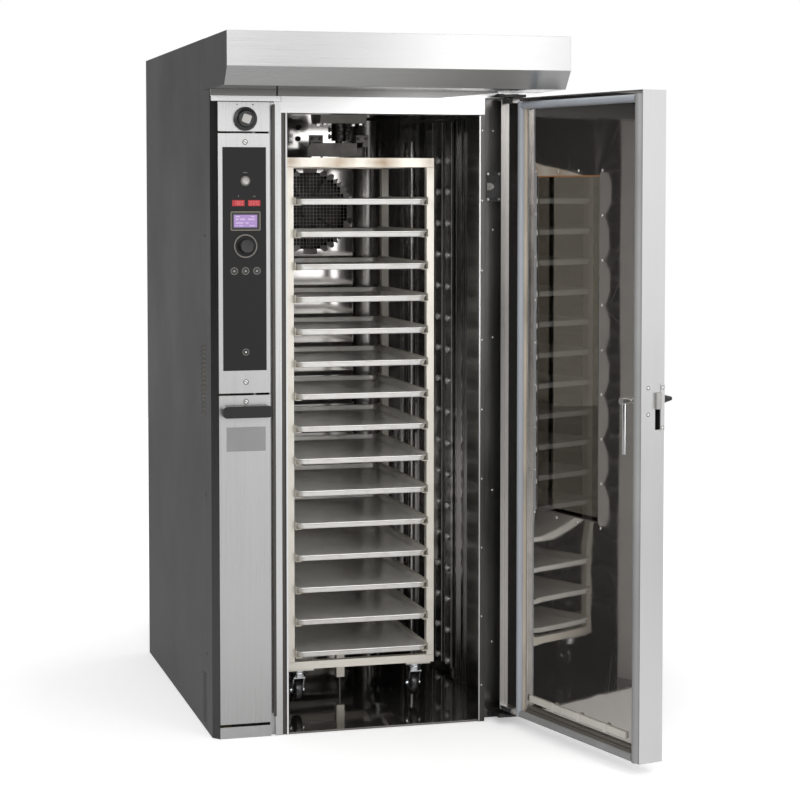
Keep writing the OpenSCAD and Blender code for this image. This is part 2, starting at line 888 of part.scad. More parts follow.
module insulation() {
    color("khaki") {
        block([sheet - side_left, wall_back, 0], [-liner_half, motor_face, deck]);
        block([liner_half, wall_back, 0], [side_right - sheet, motor_face, deck]);
        difference() {
            block([weld - liner_half, wall_back, liner_top], [liner_half - weld, motor_face, deck]);
            bar_z([0, 0, liner_top - 1], drive_r + 5, top_insulation + 2);
            bar_z([-spigot_x, spigot_y, liner_top - 1], flue_hole_r, top_insulation + 2);
        }
        difference() {
            block([weld - liner_half, plenum_back + liner_t, 0],
                  [liner_half - weld, motor_face, liner_top - weld]);
            bar_y([0, plenum_back, fan_z], fan_shaft_r + 5, rear_insulation + liner_t + 2);
        }
    }
}

module strip_bolt_column(y) {
    for (i = [0 : strip_bolts - 1]) {
        bar_x([cavity_half - strip_t - 5, y, strip_bolt_z + i * strip_pitch], strip_bolt_r, 5);
    }
}

module cavity_air_ducts() {
    strip_bottom = floor_t + 24;
    strip_top = cavity_top - 6;
    rail = 20;
    color("gray") {
        for (i = [0 : 1]) {
            y = strip_front + i * (strip_w + 1);
            block([cavity_half - strip_t, y, strip_bottom], [cavity_half, y + strip_w, strip_top]);
            strip_bolt_column(y + strip_w / 2);
        }
        for (y = rail_places) {
            block([cavity_half - 8, y, floor_t], [cavity_half, y + rail, strip_top]);
        }
        translate([0, 0, floor_t]) linear_extrude(strip_top - floor_t) intersection() {
            translate([column_left, cavity_back - column_d]) square([column_w, column_d]);
            translate([column_left + column_w / 2, cavity_back + 30]) circle(68);
        }
    }
}

// A square hole of the guard is cut where its centre lies inside the circle.
module fan_guard() {
    steps = floor(guard_r / guard_pitch);
    color("gray") difference() {
        bar_y([0, cavity_back - 3, fan_z], guard_r + guard_rim, 3);
        for (i = [-steps : steps], k = [-steps : steps]) {
            if (norm([i, k]) * guard_pitch < guard_r - guard_hole / 2) {
                translate([i * guard_pitch, cavity_back - 2, fan_z + k * guard_pitch])
                    cube([guard_hole, 8, guard_hole], center = true);
            }
        }
    }
}

module fan_motor() {
    color("slategray") {
        difference() {
            bar_y([0, motor_face, fan_z], 62, inside_back - motor_face - 8);
            bar_y([0, motor_face - 1, fan_z], fan_shaft_r + run, 61);
        }
    }
}

// Ring with two legs that run back to the plenum's rear sheet.
module heater_ring(y, ring_r, end) {
    leg_r = heater_tube_r - 2;
    union() {
        translate([0, y, fan_z]) rotate([90, 0, 0]) rotate_extrude()
            translate([ring_r, 0]) circle(heater_tube_r);
        for (x = [-end, end]) {
            bar_y([x, y, fan_z - sqrt(ring_r * ring_r - x * x)], leg_r, plenum_back - y);
        }
    }
}

module heater_elements() {
    color("dimgray") for (i = [0 : heater_count - 1]) {
        heater_ring(cavity_back + 40 + i * 30, heater_r + i * (2 * heater_tube_r + 5), 20 + i * 15);
    }
}

module steam_pipe() {
    color("silver") {
        union() {
            bar_z([steam_x, steam_y, floor_t], steam_r, steam_top - floor_t);
            for (drop = nozzle_drops) {
                bar_z([steam_x, steam_y, steam_top - drop - 14], steam_r + 4, 28);
                bar_y([steam_x, steam_y, steam_top - drop], 6, cavity_back - steam_y);
            }
        }
    }
}

// Octagon with corners cut by c, standing in the XZ plane from y = 0 towards -Y.
module octagon_plate(w, h, c, t) {
    rotate([90, 0, 0]) linear_extrude(t) polygon([
        [c - w / 2, -h / 2], [w / 2 - c, -h / 2], [w / 2, c - h / 2], [w / 2, h / 2 - c],
        [w / 2 - c, h / 2], [c - w / 2, h / 2], [-w / 2, h / 2 - c], [-w / 2, c - h / 2]]);
}

module lamp_cover() {
    mid = lamp_left + lamp_w / 2;
    color("lightgray", 0.5) difference() {
        translate([mid, recess_face, lamp_z]) octagon_plate(lamp_w, lamp_h, 12, lamp_glass_t);
        for (x = [-1, 1], z = [-1, 1]) {
            bar_y([mid + x * (lamp_w / 2 - 10), recess_face - lamp_glass_t - 1,
                   lamp_z + z * (lamp_h / 2 - 9)], 2.6, lamp_glass_t + 2);
        }
    }
}

module oven_lamp() {
    mid = lamp_left + lamp_w / 2;
    back = recess_face + sheet + 60;
    color("ivory") {
        difference() {
            block([lamp_left + 2, recess_face + sheet, lamp_z - lamp_h / 2 + 4],
                  [lamp_left + lamp_w - 2, back, lamp_z + lamp_h / 2 - 4]);
            block([lamp_left + 4, recess_face + sheet - 1, lamp_z - lamp_h / 2 + 6],
                  [lamp_left + lamp_w - 4, back - 2, lamp_z + lamp_h / 2 - 6]);
        }
        union() {
            bar_y([mid, back - 26, lamp_z], 12, 24);
            bar_y([mid, back - 48, lamp_z], 8, 24);
            translate([mid, back - 48, lamp_z]) sphere(8);
        }
        for (x = [-1, 1], z = [-1, 1]) {
            bar_y([mid + x * (lamp_w / 2 - 10), recess_face - lamp_glass_t - 2,
                   lamp_z + z * (lamp_h / 2 - 9)], 4, 2);
        }
    }
}

module bearing_plate() {
    h = cavity_top - bearing_bottom;
    slope = 18;
    color("gray") difference() {
        translate([-bearing_w / 2, 0, 0]) rotate([90, 0, 90]) linear_extrude(bearing_w) polygon([
            [-bearing_w / 2, cavity_top], [slope - bearing_w / 2, bearing_bottom],
            [bearing_w / 2 - slope, bearing_bottom], [bearing_w / 2, cavity_top]]);
        bar_z([0, 0, bearing_bottom - 1], drive_r + run, h + 2);
    }
}

module rack_gearmotor() {
    h = gearbox_h;
    color("slategray") {
        union() {
            difference() {
                block([-gearbox_w / 2, -gearbox_d / 2, deck], [gearbox_w / 2, gearbox_d / 2, deck + h]);
                bar_z([0, 0, deck - 1], drive_r + run, 46);
            }
            bar_x([gearbox_w / 2, 0, deck + h / 2], rack_motor_r, rack_motor_l);
        }
    }
}

// Flue tube from the cavity's ceiling; its stub above the roof takes the duct.
module exhaust_spigot() {
    l = cabinet_h + spigot_out - cavity_top;
    color("silver") difference() {
        union() {
            bar_z([-spigot_x, spigot_y, cavity_top], flue_r, l);
            bar_z([-spigot_x, spigot_y, cabinet_h], spigot_r, spigot_out);
        }
        bar_z([-spigot_x, spigot_y, cavity_top - 1], flue_r - sheet, l + 2);
        bar_x([-spigot_x - spigot_r - 1, spigot_y, flap_z], flap_shaft_r + run, 2 * spigot_r + 2);
    }
}

module hinge_brackets() {
    left = pivot_x - hinge_left;
    right = pivot_x + hinge_right;
    plate_front = -pivot_y - hinge_reach;
    top = leaf_top + 5;
    low = leaf_bottom - 6;
    color("#3c3c3c") {
        union() {
            block([left, plate_front, top], [right, front, top + hinge_plate]);
            bar_z([pivot_x, -pivot_y, top - 16], hinge_pin_r, 16);
            for (x = [-34, -22, 14, 26]) {
                bar_z([pivot_x + x, front - 12, top + hinge_plate], 5, 4);
            }
        }
        union() {
            block([left, plate_front, low - hinge_plate], [right, recess_face, low]);
            block([left, recess_face - 6, floor_t], [right, recess_face, low]);
            bar_z([pivot_x, -pivot_y, low], hinge_pin_r, 18);
            bar_z([pivot_x, -pivot_y, low], hinge_pin_r + 6, leaf_bottom - low - 0.3);
        }
    }
}

// Water inlet with its flange, and the gland of the supply cable.
module rear_connections() {
    color("goldenrod") difference() {
        union() {
            bar_y([inlet_x, inside_back - 12, inlet_z], inlet_hole_r - 0.3, 12 + sheet + 1);
            bar_y([inlet_x, cabinet_back, inlet_z], inlet_r + 5, 3);
            bar_y([inlet_x, cabinet_back + 2, inlet_z], inlet_r, 28);
        }
        bar_y([inlet_x, inside_back - 13, inlet_z], inlet_hole_r - 4, 60);
    }
    color("#222222") difference() {
        union() {
            bar_y([gland_x, inside_back - 10, gland_z], gland_body_r - 0.3, 30);
            bar_y([gland_x, cabinet_back, gland_z], gland_body_r + 4, 14);
        }
        bar_y([gland_x, inside_back - 11, gland_z], gland_bore_r, 40);
    }
}

module fan_impeller() {
    y0 = cavity_back + 20;
    color("gray") union() {
        bar_y([0, y0 + impeller_l - 4, fan_z], impeller_r, 4);
        bar_y([0, y0, fan_z], 24, impeller_l - 4);
        for (i = [0 : blades - 1]) {
            translate([0, y0, fan_z]) rotate([0, i * 360 / blades, 0])
                block([60, 0, -1.5], [impeller_r - 6, impeller_l - 3, 1.5]);
        }
        bar_y([0, y0 + impeller_l - 1, fan_z], fan_shaft_r, motor_face + 50 - y0 - impeller_l + 1);
    }
}

module drive_shaft() {
    color("silver") {
        difference() {
            union() {
                bar_z([0, 0, coupling_bottom], coupling_r, bearing_bottom - coupling_bottom - 0.4);
                bar_z([0, 0, bearing_bottom - 1], drive_r, deck + 40 - bearing_bottom);
                for (z = [coupling_bottom + 14, coupling_bottom + 38]) {
                    bar_x([-coupling_r - 6, 0, z], 6, 2 * coupling_r + 12);
                    bar_y([0, -coupling_r - 6, z], 6, 2 * coupling_r + 12);
                }
            }
            bar_z([0, 0, coupling_bottom - 1], stem_r + run, 51);
        }
    }
}

module carrier_yoke() {
    low = yoke_top - yoke_h;
    plate = 10;
    hub = 30;
    reach = 34;
    left_end = -prong_x - 35;
    right_end = prong_x - prong_w / 2 - 14;
    prong_low = stirrup_head - prong_h;
    color("#4a4540") union() {
        block([-hub, -reach, low], [hub, reach, yoke_top]);
        translate([0, plate - reach, 0]) rotate([90, 0, 0]) linear_extrude(plate) polygon([
            [left_end, low], [right_end, low], [right_end, yoke_top],
            [left_end + 12, yoke_top], [left_end, yoke_top - 14]]);
        block([0, reach - plate, low], [prong_x + 20, reach, yoke_top]);
        block([-prong_x - prong_w / 2, -reach + 1, prong_low], [-prong_x + prong_w / 2, reach + 20, stirrup_head]);
        block([prong_x - prong_w / 2, -reach - 20, prong_low], [prong_x + prong_w / 2, reach - 1, stirrup_head]);
        bar_z([0, 0, yoke_top - 1], stem_r, coupling_bottom - yoke_top + 41);
    }
}

// Inverted U on the rack's centre bar, hung over one prong.
module stirrup(x) {
    leg = 4;
    half = prong_w / 2 + 10;
    union() {
        for (s = [-1, 1]) {
            block([x + s * half - leg / 2, -10, rack_top - 1], [x + s * half + leg / 2, 10, stirrup_head + 10]);
            bar_y([x + s * (half - 6), -16, stirrup_head + 13], 5, 6);
        }
        block([x - half - leg / 2, -12, stirrup_head], [x + half + leg / 2, 12, stirrup_head + 25]);
    }
}

module rack_frame() {
    post = tube / 2;
    color("#d9d0bf") {
        difference() {
            union() {
                for (x = [-1, 1], y = [-1, 1]) {
                    translate([x * (rack_half_x - post), y * (rack_half_y - post), 0])
                        block([-post, -post, rack_bottom], [post, post, rack_top]);
                }
                for (y = [-1, 1]) {
                    translate([0, y * (rack_half_y - post), 0]) {
                        block([-rack_half_x, -post, rack_bottom], [rack_half_x, post, rack_bottom + tube]);
                        block([-rack_half_x, -post, rack_top - top_bar], [rack_half_x, post, rack_top]);
                    }
                }
                for (x = [-1, 1]) {
                    translate([x * (rack_half_x - post), 0, 0]) {
                        block([-post, -rack_half_y, rack_bottom], [post, rack_half_y, rack_bottom + tube]);
                        block([-post, -rack_half_y, rack_top - top_bar], [post, rack_half_y, rack_top]);
                    }
                }
                block([-rack_half_x, -15, rack_top - top_bar], [rack_half_x, 15, rack_top]);
                block([-rack_half_x, -post, rack_bottom], [rack_half_x, post, rack_bottom + tube]);
                block([-guide_w / 2, -guide_w / 2, guide_bottom], [guide_w / 2, guide_w / 2, rack_bottom + 1]);
                stirrup(-prong_x);
                stirrup(prong_x);
                for (x = [-1, 1], y = [-1, 1]) {
                    translate([x * castor_x / 2, y * castor_y / 2, 0])
                        block([-42, -50, castor_plate], [42, 50, rack_bottom]);
                }
            }
            bar_z([0, 0, guide_bottom - 1], guide_pin_r + 0.6, 61);
            for (x = [-1, 1], y = [-1, 1]) {
                bar_z([x * castor_x / 2, y * castor_y / 2, castor_plate - 1], kingpin_r + run, kingpin_h + 2);
            }
        }
    }
}

module rack_runners() {
    color("#b8b2a4") for (i = [0 : tray_count - 1], s = [-1, 1]) {
        shelf = tray_first + i * tray_pitch - tray_h;
        x0 = s > 0 ? runner_inner : -rack_inner;
        union() {
            block([x0, -runner_end, shelf - runner_t], [x0 + runner_t, runner_end, shelf - runner_t + runner_web]);
            block([s > 0 ? rack_inner - runner_w : -rack_inner, -runner_end, shelf - runner_t],
                  [s > 0 ? rack_inner : runner_w - rack_inner, runner_end, shelf]);
        }
    }
}

// Flat outline of a tray, drawn in by an inset.
module tray_outline(inset) {
    hx = tray_half - inset;
    hy = tray_l / 2 - inset;
    r = tray_corner - inset;
    square([2 * (hx - r), 2 * hy], center = true);
    square([2 * hx, 2 * (hy - r)], center = true);
    for (x = [-1, 1], y = [-1, 1]) {
        translate([x * (hx - r), y * (hy - r)]) circle(r);
    }
}

module trays() {
    color("silver") for (i = [0 : tray_count - 1]) {
        translate([0, 0, tray_first + i * tray_pitch - tray_h]) difference() {
            linear_extrude(tray_h) tray_outline(0);
            translate([0, 0, tray_t]) linear_extrude(tray_h) tray_outline(tray_t);
        }
    }
}

// One castor fork; its swivel axis is at (x, y).
module castor_fork(x, y) {
    half = wheel_w / 2 + wheel_gap;
    crown = axle_z + wheel_r + 6;
    color("gainsboro") translate([x, y, 0]) {
        union() {
            bar_z([0, 0, crown + 4], 26, castor_plate - crown - 4.4);
            block([-half - fork_t, -22, crown], [half + fork_t, trail + 12, crown + 5]);
            for (s = [0, 1]) {
                x0 = s > 0 ? half : -half - fork_t;
                translate([x0, 0, 0]) rotate([90, 0, 90]) linear_extrude(fork_t) polygon([
                    [-14, crown + 1], [trail + 12, crown + 1], [trail + 10, axle_z - 10],
                    [trail - 8, axle_z - 10]]);
            }
            bar_z([0, 0, crown + 4], kingpin_r, castor_plate + kingpin_h - crown - 4);
            bar_x([-half - fork_t - 4, trail, axle_z], axle_r, 2 * (half + fork_t + 4));
            for (s = [-1, 1]) {
                bar_x([s > 0 ? half + fork_t - 1 : -half - fork_t - 5, trail, axle_z], axle_r + 4, 6);
            }
        }
    }
}

module castor_wheel(x, y) {
    color("#151515") translate([x, y + trail, axle_z]) difference() {
        union() {
            rotate([0, 90, 0]) rotate_extrude() polygon([
                [0, -wheel_w / 2], [wheel_r - 5, -wheel_w / 2], [wheel_r, 5 - wheel_w / 2],
                [wheel_r, wheel_w / 2 - 5], [wheel_r - 5, wheel_w / 2], [0, wheel_w / 2]]);
            bar_x([-wheel_w / 2 - wheel_gap + 0.4, 0, 0], axle_r + 5, wheel_w + 2 * wheel_gap - 0.8);
        }
        bar_x([-wheel_w, 0, 0], axle_r + run, 2 * wheel_w);
    }
}

module castor_fork_front_left() { castor_fork(-castor_x / 2, -castor_y / 2); }
module castor_fork_front_right() { castor_fork(castor_x / 2, -castor_y / 2); }
module castor_fork_rear_left() { castor_fork(-castor_x / 2, castor_y / 2); }
module castor_fork_rear_right() { castor_fork(castor_x / 2, castor_y / 2); }
module castor_wheel_front_left() { castor_wheel(-castor_x / 2, -castor_y / 2); }
module castor_wheel_front_right() { castor_wheel(castor_x / 2, -castor_y / 2); }
module castor_wheel_rear_left() { castor_wheel(-castor_x / 2, castor_y / 2); }
module castor_wheel_rear_right() { castor_wheel(castor_x / 2, castor_y / 2); }

// Blocks inside the leaf that hold the hinge pins.
module hinge_block(bottom, top, grow) {
    block([pivot_x - 34 - grow, outer_skin + leaf_sheet, bottom - grow],
          [leaf_right - leaf_sheet, rim_face - 2, top + grow]);
}

module slot_cut(depth) {
    y = slot_y;
    block([-leaf_left - 1, y, slot_bottom], [-leaf_left + depth, y + slot_w, slot_top]);
}

module door_leaf() {
    color("silver") hung() {
        difference() {
            union() {
                difference() {
                    block([-leaf_left, outer_skin, leaf_bottom], [leaf_right, rim_face, leaf_top]);
                    block([leaf_sheet - leaf_left, outer_skin + leaf_sheet, leaf_bottom + leaf_sheet],
                          [leaf_right - leaf_sheet, rim_face + 1, leaf_top - leaf_sheet]);
                }
                hinge_block(leaf_top - leaf_sheet - 12, leaf_top - leaf_sheet, 0);
                hinge_block(leaf_bottom + leaf_sheet, leaf_bottom + leaf_sheet + 12, 0);
            }
            block([-window_left, outer_skin - 1, window_bottom],
                  [window_right, outer_skin + leaf_sheet + 1, window_top]);
            bar_z([pivot_x, -pivot_y, leaf_top - 20], hinge_pin_r + run, 30);
            bar_z([pivot_x, -pivot_y, leaf_bottom - 10], hinge_pin_r + run, 30);
            bar_y([-spindle_x, outer_skin - 1, spindle_z], spindle_r + run, leaf_sheet + 2);
            slot_cut(leaf_sheet + 1);
        }
        difference() {
            block([-leaf_left - 2, outer_skin, slot_bottom - 5], [-leaf_left, slot_y - 1, slot_top + 25]);
            bar_x([-leaf_left - 3, outer_skin + 7, slot_top + 14], 2.5, 2);
            bar_x([-leaf_left - 3, outer_skin + 7, slot_bottom + 6], 2.5, 2);
        }
    }
}

module door_liner() {
    lap = 2;
    color("gray") hung() {
        difference() {
            block([leaf_sheet - leaf_left, inner_skin - liner_t, leaf_bottom + leaf_sheet],
                  [leaf_right - leaf_sheet, inner_skin, leaf_top - leaf_sheet]);
            block([-window_left, inner_skin - liner_t - 1, window_bottom],
                  [window_right, inner_skin + 1, window_top]);
            bar_y([-spindle_x, inner_skin - liner_t - 1, spindle_z], spindle_r + run, liner_t + 2);
            hinge_block(leaf_top - leaf_sheet - 12, leaf_top, 0.3);
            hinge_block(leaf_bottom, leaf_bottom + leaf_sheet + 12, 0.3);
        }
        difference() {
            block([pane_left, outer_skin + leaf_sheet + pane_t, pane_bottom],
                  [pane_right, inner_skin - liner_t - pane_t, pane_top]);
            block([pane_left + lap, outer_skin, pane_bottom + lap], [pane_right - lap, inner_skin, pane_top - lap]);
        }
    }
}

module door_insulation() {
    color("khaki") hung() difference() {
        block([leaf_sheet - leaf_left, outer_skin + leaf_sheet, leaf_bottom + leaf_sheet],
              [leaf_right - leaf_sheet, inner_skin - liner_t, leaf_top - leaf_sheet]);
        block([pane_left, outer_skin, pane_bottom], [pane_right, inner_skin, pane_top]);
        bar_y([-spindle_x, outer_skin, spindle_z], spindle_r + 1, leaf_t);
        block([-leaf_left, slot_y - 2, slot_bottom - 4], [-leaf_left + 24, slot_y + slot_w + 2, slot_top + 4]);
        hinge_block(leaf_top - leaf_sheet - 12, leaf_top, 0.3);
        hinge_block(leaf_bottom, leaf_bottom + leaf_sheet + 12, 0.3);
    }
}

module door_glass() {
    color("lightcyan", 0.3) hung() {
        block([pane_left, inner_skin - liner_t - pane_t, pane_bottom],
              [pane_right, inner_skin - liner_t, pane_top]);
        block([pane_left, outer_skin + leaf_sheet, pane_bottom],
              [pane_right, outer_skin + leaf_sheet + pane_t, pane_top]);
    }
}

// Seal profile with bevelled flanks, w wide and h high, running along Z.
module seal_profile(w, h, l) {
    linear_extrude(l) polygon([[-w / 2, 0], [w / 2, 0], [w / 2, h * 0.5], [w / 2 - h * 0.3, h],
        [-w / 2 + h * 0.3, h], [-w / 2, h * 0.5]]);
}

module door_gasket() {
    low = leaf_bottom + leaf_sheet + 2;
    top_high = seal_top + 12;
    butt = 0.3;
    inner_left = -seal_left + seal_w + butt;
    inner_l = seal_right + seal_left - 2 * seal_w - 2 * butt;
    color("#7d8791") hung() {
        for (x = [-seal_left + seal_w / 2, seal_right - seal_w / 2]) {
            translate([x, inner_skin, low]) seal_profile(seal_w, seal_h, top_high - low);
        }
        for (z = [low + seal_w / 2, seal_top - seal_w / 2]) {
            translate([inner_left, inner_skin, z]) rotate([0, 90, 0]) seal_profile(seal_w, seal_h, inner_l);
        }
        block([inner_left + 40, inner_skin, low + seal_w + 14],
              [inner_left + inner_l - 10, inner_skin + 8, low + seal_w + 34]);
        for (i = [1 : 3]) {
            block([inner_left + inner_l * i / 4 - 8, inner_skin + 8, low + seal_w + 12],
                  [inner_left + inner_l * i / 4 + 8, inner_skin + 12, low + seal_w + 38]);
        }
    }
}

module latch_tongue() {
    color("gray") hung() union() {
        block([-leaf_left - tongue_out, slot_y + 0.5, slot_top - tongue_h - 0.5],
              [-leaf_left + leaf_sheet + 0.5, slot_y + slot_w - 0.5, slot_top - 0.5]);
        block([-leaf_left + leaf_sheet + 0.4, slot_y - 1.5, slot_top - tongue_h],
              [-leaf_left + 20, slot_y + slot_w + 1.5, slot_top - 1]);
    }
}

module outer_handle() {
    color("#2a2a2a") hung() union() {
        translate([-spindle_x, outer_skin - hub_gap, spindle_z]) rotate([90, 0, 0])
            cylinder(r1 = hub_r, r2 = 6, h = hub_out);
        bar_z([-spindle_x, outer_skin - 28, spindle_z - lever_l], lever_r, lever_l);
        translate([-spindle_x, outer_skin - 28, spindle_z - lever_l]) sphere(lever_r);
        bar_y([-spindle_x, outer_skin - 1, spindle_z], spindle_r, leaf_t + 1 + hub_gap);
    }
}

module inner_release() {
    y = inner_skin + inner_out - 14;
    color("silver") hung() union() {
        bar_y([-spindle_x, inner_skin + hub_gap, spindle_z], spindle_r + 3, 6);
        bar_y([-spindle_x, inner_skin + hub_gap + 5, spindle_z], spindle_r, inner_out - 15);
        bar_z([-spindle_x, y, spindle_z - inner_l], inner_r, inner_l + 8);
        bar_y([-spindle_x, y - 8, spindle_z], inner_r + 3, 22);
    }
}

// Push button on the black glass: a cap and a stem behind it.
module push_button(x, z, r, out, stroke) {
    union() {
        bar_y([x, glass_face - out, z], r, out + glass_t + stroke);
        bar_y([x, glass_face + glass_t, z], r * 0.6, button_shaft);
    }
}

module start_button() {
    color("silver") push_button(-control_line, start_z, start_r, 3 + start_stroke, start_stroke);
}

module menu_button(i) {
    color("#2b2b2b") push_button(-control_line + i * menu_pitch, menu_z, menu_r,
        0.5 + small_stroke, small_stroke);
}

module menu_button_left() { menu_button(-1); }
module menu_button_middle() { menu_button(0); }
module menu_button_right() { menu_button(1); }

module service_button() {
    color("#2b2b2b") push_button(-control_line, service_z, service_r, 0.5 + small_stroke, small_stroke);
}

module encoder_knob() {
    color("#1c1c1c") union() {
        translate([-control_line, glass_face - 0.4, encoder_z]) rotate([90, 0, 0])
            cylinder(r1 = encoder_r, r2 = encoder_r - 2, h = encoder_h);
        bar_y([-control_line, glass_face - 1, encoder_z], encoder_shaft_r, glass_t + 12);
    }
}

module damper_knob() {
    color("#262626") union() {
        bar_y([-control_line, front - 0.4 - damper_knob_h, damper_z], damper_knob_r, damper_knob_h);
        translate([-control_line, front - damper_knob_h, damper_z]) rotate([0, 45, 0])
            face_plate(26, 26, 6, 3);
        bar_y([-control_line, front - 1, damper_z], damper_shaft_r, 30);
    }
}

module damper_flap() {
    color("gray") union() {
        translate([-spigot_x, spigot_y - 1, flap_z]) rotate([-90, 0, 0]) cylinder(r = flap_r, h = 2);
        bar_x([-spigot_x - spigot_r - 8, spigot_y, flap_z], flap_shaft_r, 2 * spigot_r + 16);
    }
}

floor_plate();
left_side_panels();
right_side_panels();
rear_panel();
roof_panel();
hood_shell();
lintel();
column_post();
right_jamb();
damper_panel();
control_panel();
service_panel();
service_handle();
control_glass();
display_set();
cavity_liner();
cavity_rear_wall();
insulation();
cavity_air_ducts();
fan_guard();
fan_motor();
heater_elements();
steam_pipe();
lamp_cover();
oven_lamp();
bearing_plate();
rack_gearmotor();
exhaust_spigot();
hinge_brackets();
rear_connections();
fan_impeller();
drive_shaft();
carrier_yoke();
rack_frame();
rack_runners();
trays();
castor_fork_front_left();
castor_fork_front_right();
castor_fork_rear_left();
castor_fork_rear_right();
castor_wheel_front_left();
castor_wheel_front_right();
castor_wheel_rear_left();
castor_wheel_rear_right();
door_leaf();
door_liner();
door_insulation();
door_glass();
door_gasket();
latch_tongue();
outer_handle();
inner_release();
start_button();
menu_button_left();
menu_button_middle();
menu_button_right();
service_button();
encoder_knob();
damper_knob();
damper_flap();
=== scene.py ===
# %% [markdown]
# # A rotating rack oven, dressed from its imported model
#
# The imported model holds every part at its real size. This lesson gives each surface the
# finish of the real oven, rounds the edges that catch light, and adds the small things
# that a drawing leaves out: screws, knob ribs, display digits, rolled tray rims.
# Everything is in metres. The origin is on the floor under the turning axis of the rack,
# +Z is up and the doorway faces -Y.

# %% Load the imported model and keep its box
import json
import math
import random

import bmesh
import bpy
from mathutils import Matrix, Vector


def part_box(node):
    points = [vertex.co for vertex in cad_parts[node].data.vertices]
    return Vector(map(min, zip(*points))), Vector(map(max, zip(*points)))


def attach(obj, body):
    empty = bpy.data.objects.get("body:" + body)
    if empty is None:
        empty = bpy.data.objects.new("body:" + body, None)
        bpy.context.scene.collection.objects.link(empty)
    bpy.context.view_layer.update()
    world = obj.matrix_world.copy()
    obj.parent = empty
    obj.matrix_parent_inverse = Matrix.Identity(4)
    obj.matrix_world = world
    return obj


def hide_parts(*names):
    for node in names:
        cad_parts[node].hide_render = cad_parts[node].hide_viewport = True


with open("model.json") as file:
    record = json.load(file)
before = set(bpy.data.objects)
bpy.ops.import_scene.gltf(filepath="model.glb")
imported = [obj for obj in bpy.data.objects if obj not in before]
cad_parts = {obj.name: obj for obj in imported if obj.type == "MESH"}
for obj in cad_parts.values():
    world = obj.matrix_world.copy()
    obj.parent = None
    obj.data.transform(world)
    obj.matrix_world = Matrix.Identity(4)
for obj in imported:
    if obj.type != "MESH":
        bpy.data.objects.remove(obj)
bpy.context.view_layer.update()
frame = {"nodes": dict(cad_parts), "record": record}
record = frame["record"]
body_of_node = {n: b for b, ns in record["behaviour"]["bodies"].items() for n in ns}
slot_of_node = {s["node"]: s["material_slot"] for s in record["subparts"]}

# %% [markdown]
# ## Places that several pieces share
#
# The door stands open at rest, so everything on it is built as if the door were shut and
# is then turned about the hinge pin. One matrix does that for every piece of the door,
# which keeps screws, seal and window in line whatever the angle.

# %% Shared places
FRONT = -0.520
GLASS_FACE = -0.5205
PANEL_LINE = -0.428
DOOR_PIVOT = Vector((0.4334, -0.5534, 0))
DOOR_ANGLE = math.radians(103.8)
DOOR_SKIN = -0.5505
OUTER_SKIN = -0.6185
RACK_TOP = 1.834
RACK_BOTTOM = 0.156


def turning(degrees, axis):
    return Matrix.Rotation(math.radians(degrees), 4, axis)


opened = (Matrix.Translation(DOOR_PIVOT) @ Matrix.Rotation(DOOR_ANGLE, 4, "Z")
          @ Matrix.Translation(-DOOR_PIVOT))
shut = opened.inverted()
print("door edge when open", (opened @ Vector((-0.309, DOOR_SKIN, 0)))[:])

# %% [markdown]
# ## The camera
#
# The photograph was taken from the left, a little above chest height, with a long lens.
# Its vertical lines stay vertical, which a level camera with a shifted frame gives. A
# large shift would push the oven out of the frame in the other views, so the camera is
# tilted by three degrees and only the rest is shifted. No corner moves by more than three
# pixels for it.

# %% The camera
CAMERA_PLACE = (-1.730, -7.042, 1.726)
CAMERA_TURN = math.radians(-15.45)
CAMERA_TILT = math.radians(3.048)
FOCAL_PIXELS = 2124
FRAME_PIXELS = 800
FRAME_SHIFT = -0.12
SENSOR = 36


def linked(name, data):
    made = bpy.data.objects.new(name, data)
    bpy.context.scene.collection.objects.link(made)
    return made


camera_data = bpy.data.cameras.new("camera")
camera = linked("camera", camera_data)
camera.location = CAMERA_PLACE
camera.rotation_euler = (math.radians(90) - CAMERA_TILT, 0, CAMERA_TURN)
camera_data.sensor_width = SENSOR
camera_data.lens = FOCAL_PIXELS / FRAME_PIXELS * SENSOR
camera_data.shift_y = FRAME_SHIFT
bpy.context.scene.camera = camera
print("lens", round(camera_data.lens, 2), "shift", camera_data.shift_y)

# %% [markdown]
# ## Shader sums written as Python
#
# A finish is a small tree of nodes. Two classes keep it readable: a Wire is one output
# socket that can stand in a sum, and a Finish makes the nodes. A sum such as
# 1 - mask * 0.3 then adds its own Math nodes.

# %% Wires and finishes
class Wire:
    """An output socket that takes part in Python sums."""

    def __init__(self, finish, socket):
        self.finish = finish
        self.socket = socket

    def math(self, operation, first, second=0.0):
        return self.finish.add("ShaderNodeMath", {"operation": operation}, {0: first, 1: second})

    def __abs__(self):
        return self.math("ABSOLUTE", self)

    def held(self, low=0.0, high=1.0):
        return self.math("MINIMUM", self.math("MAXIMUM", self, low), high)

    def above(self, level, gain):
        """How far the value stands over a level, times a gain, from 0 to 1."""
        return ((self - level) * gain).held()


def sum_of(operation, swapped=False):
    def work(wire, other):
        return wire.math(operation, *((other, wire) if swapped else (wire, other)))
    return work


for sign, operation in [("add", "ADD"), ("sub", "SUBTRACT"), ("mul", "MULTIPLY"),
                        ("truediv", "DIVIDE"), ("pow", "POWER")]:
    setattr(Wire, f"__{sign}__", sum_of(operation))
    setattr(Wire, f"__r{sign}__", sum_of(operation, swapped=True))


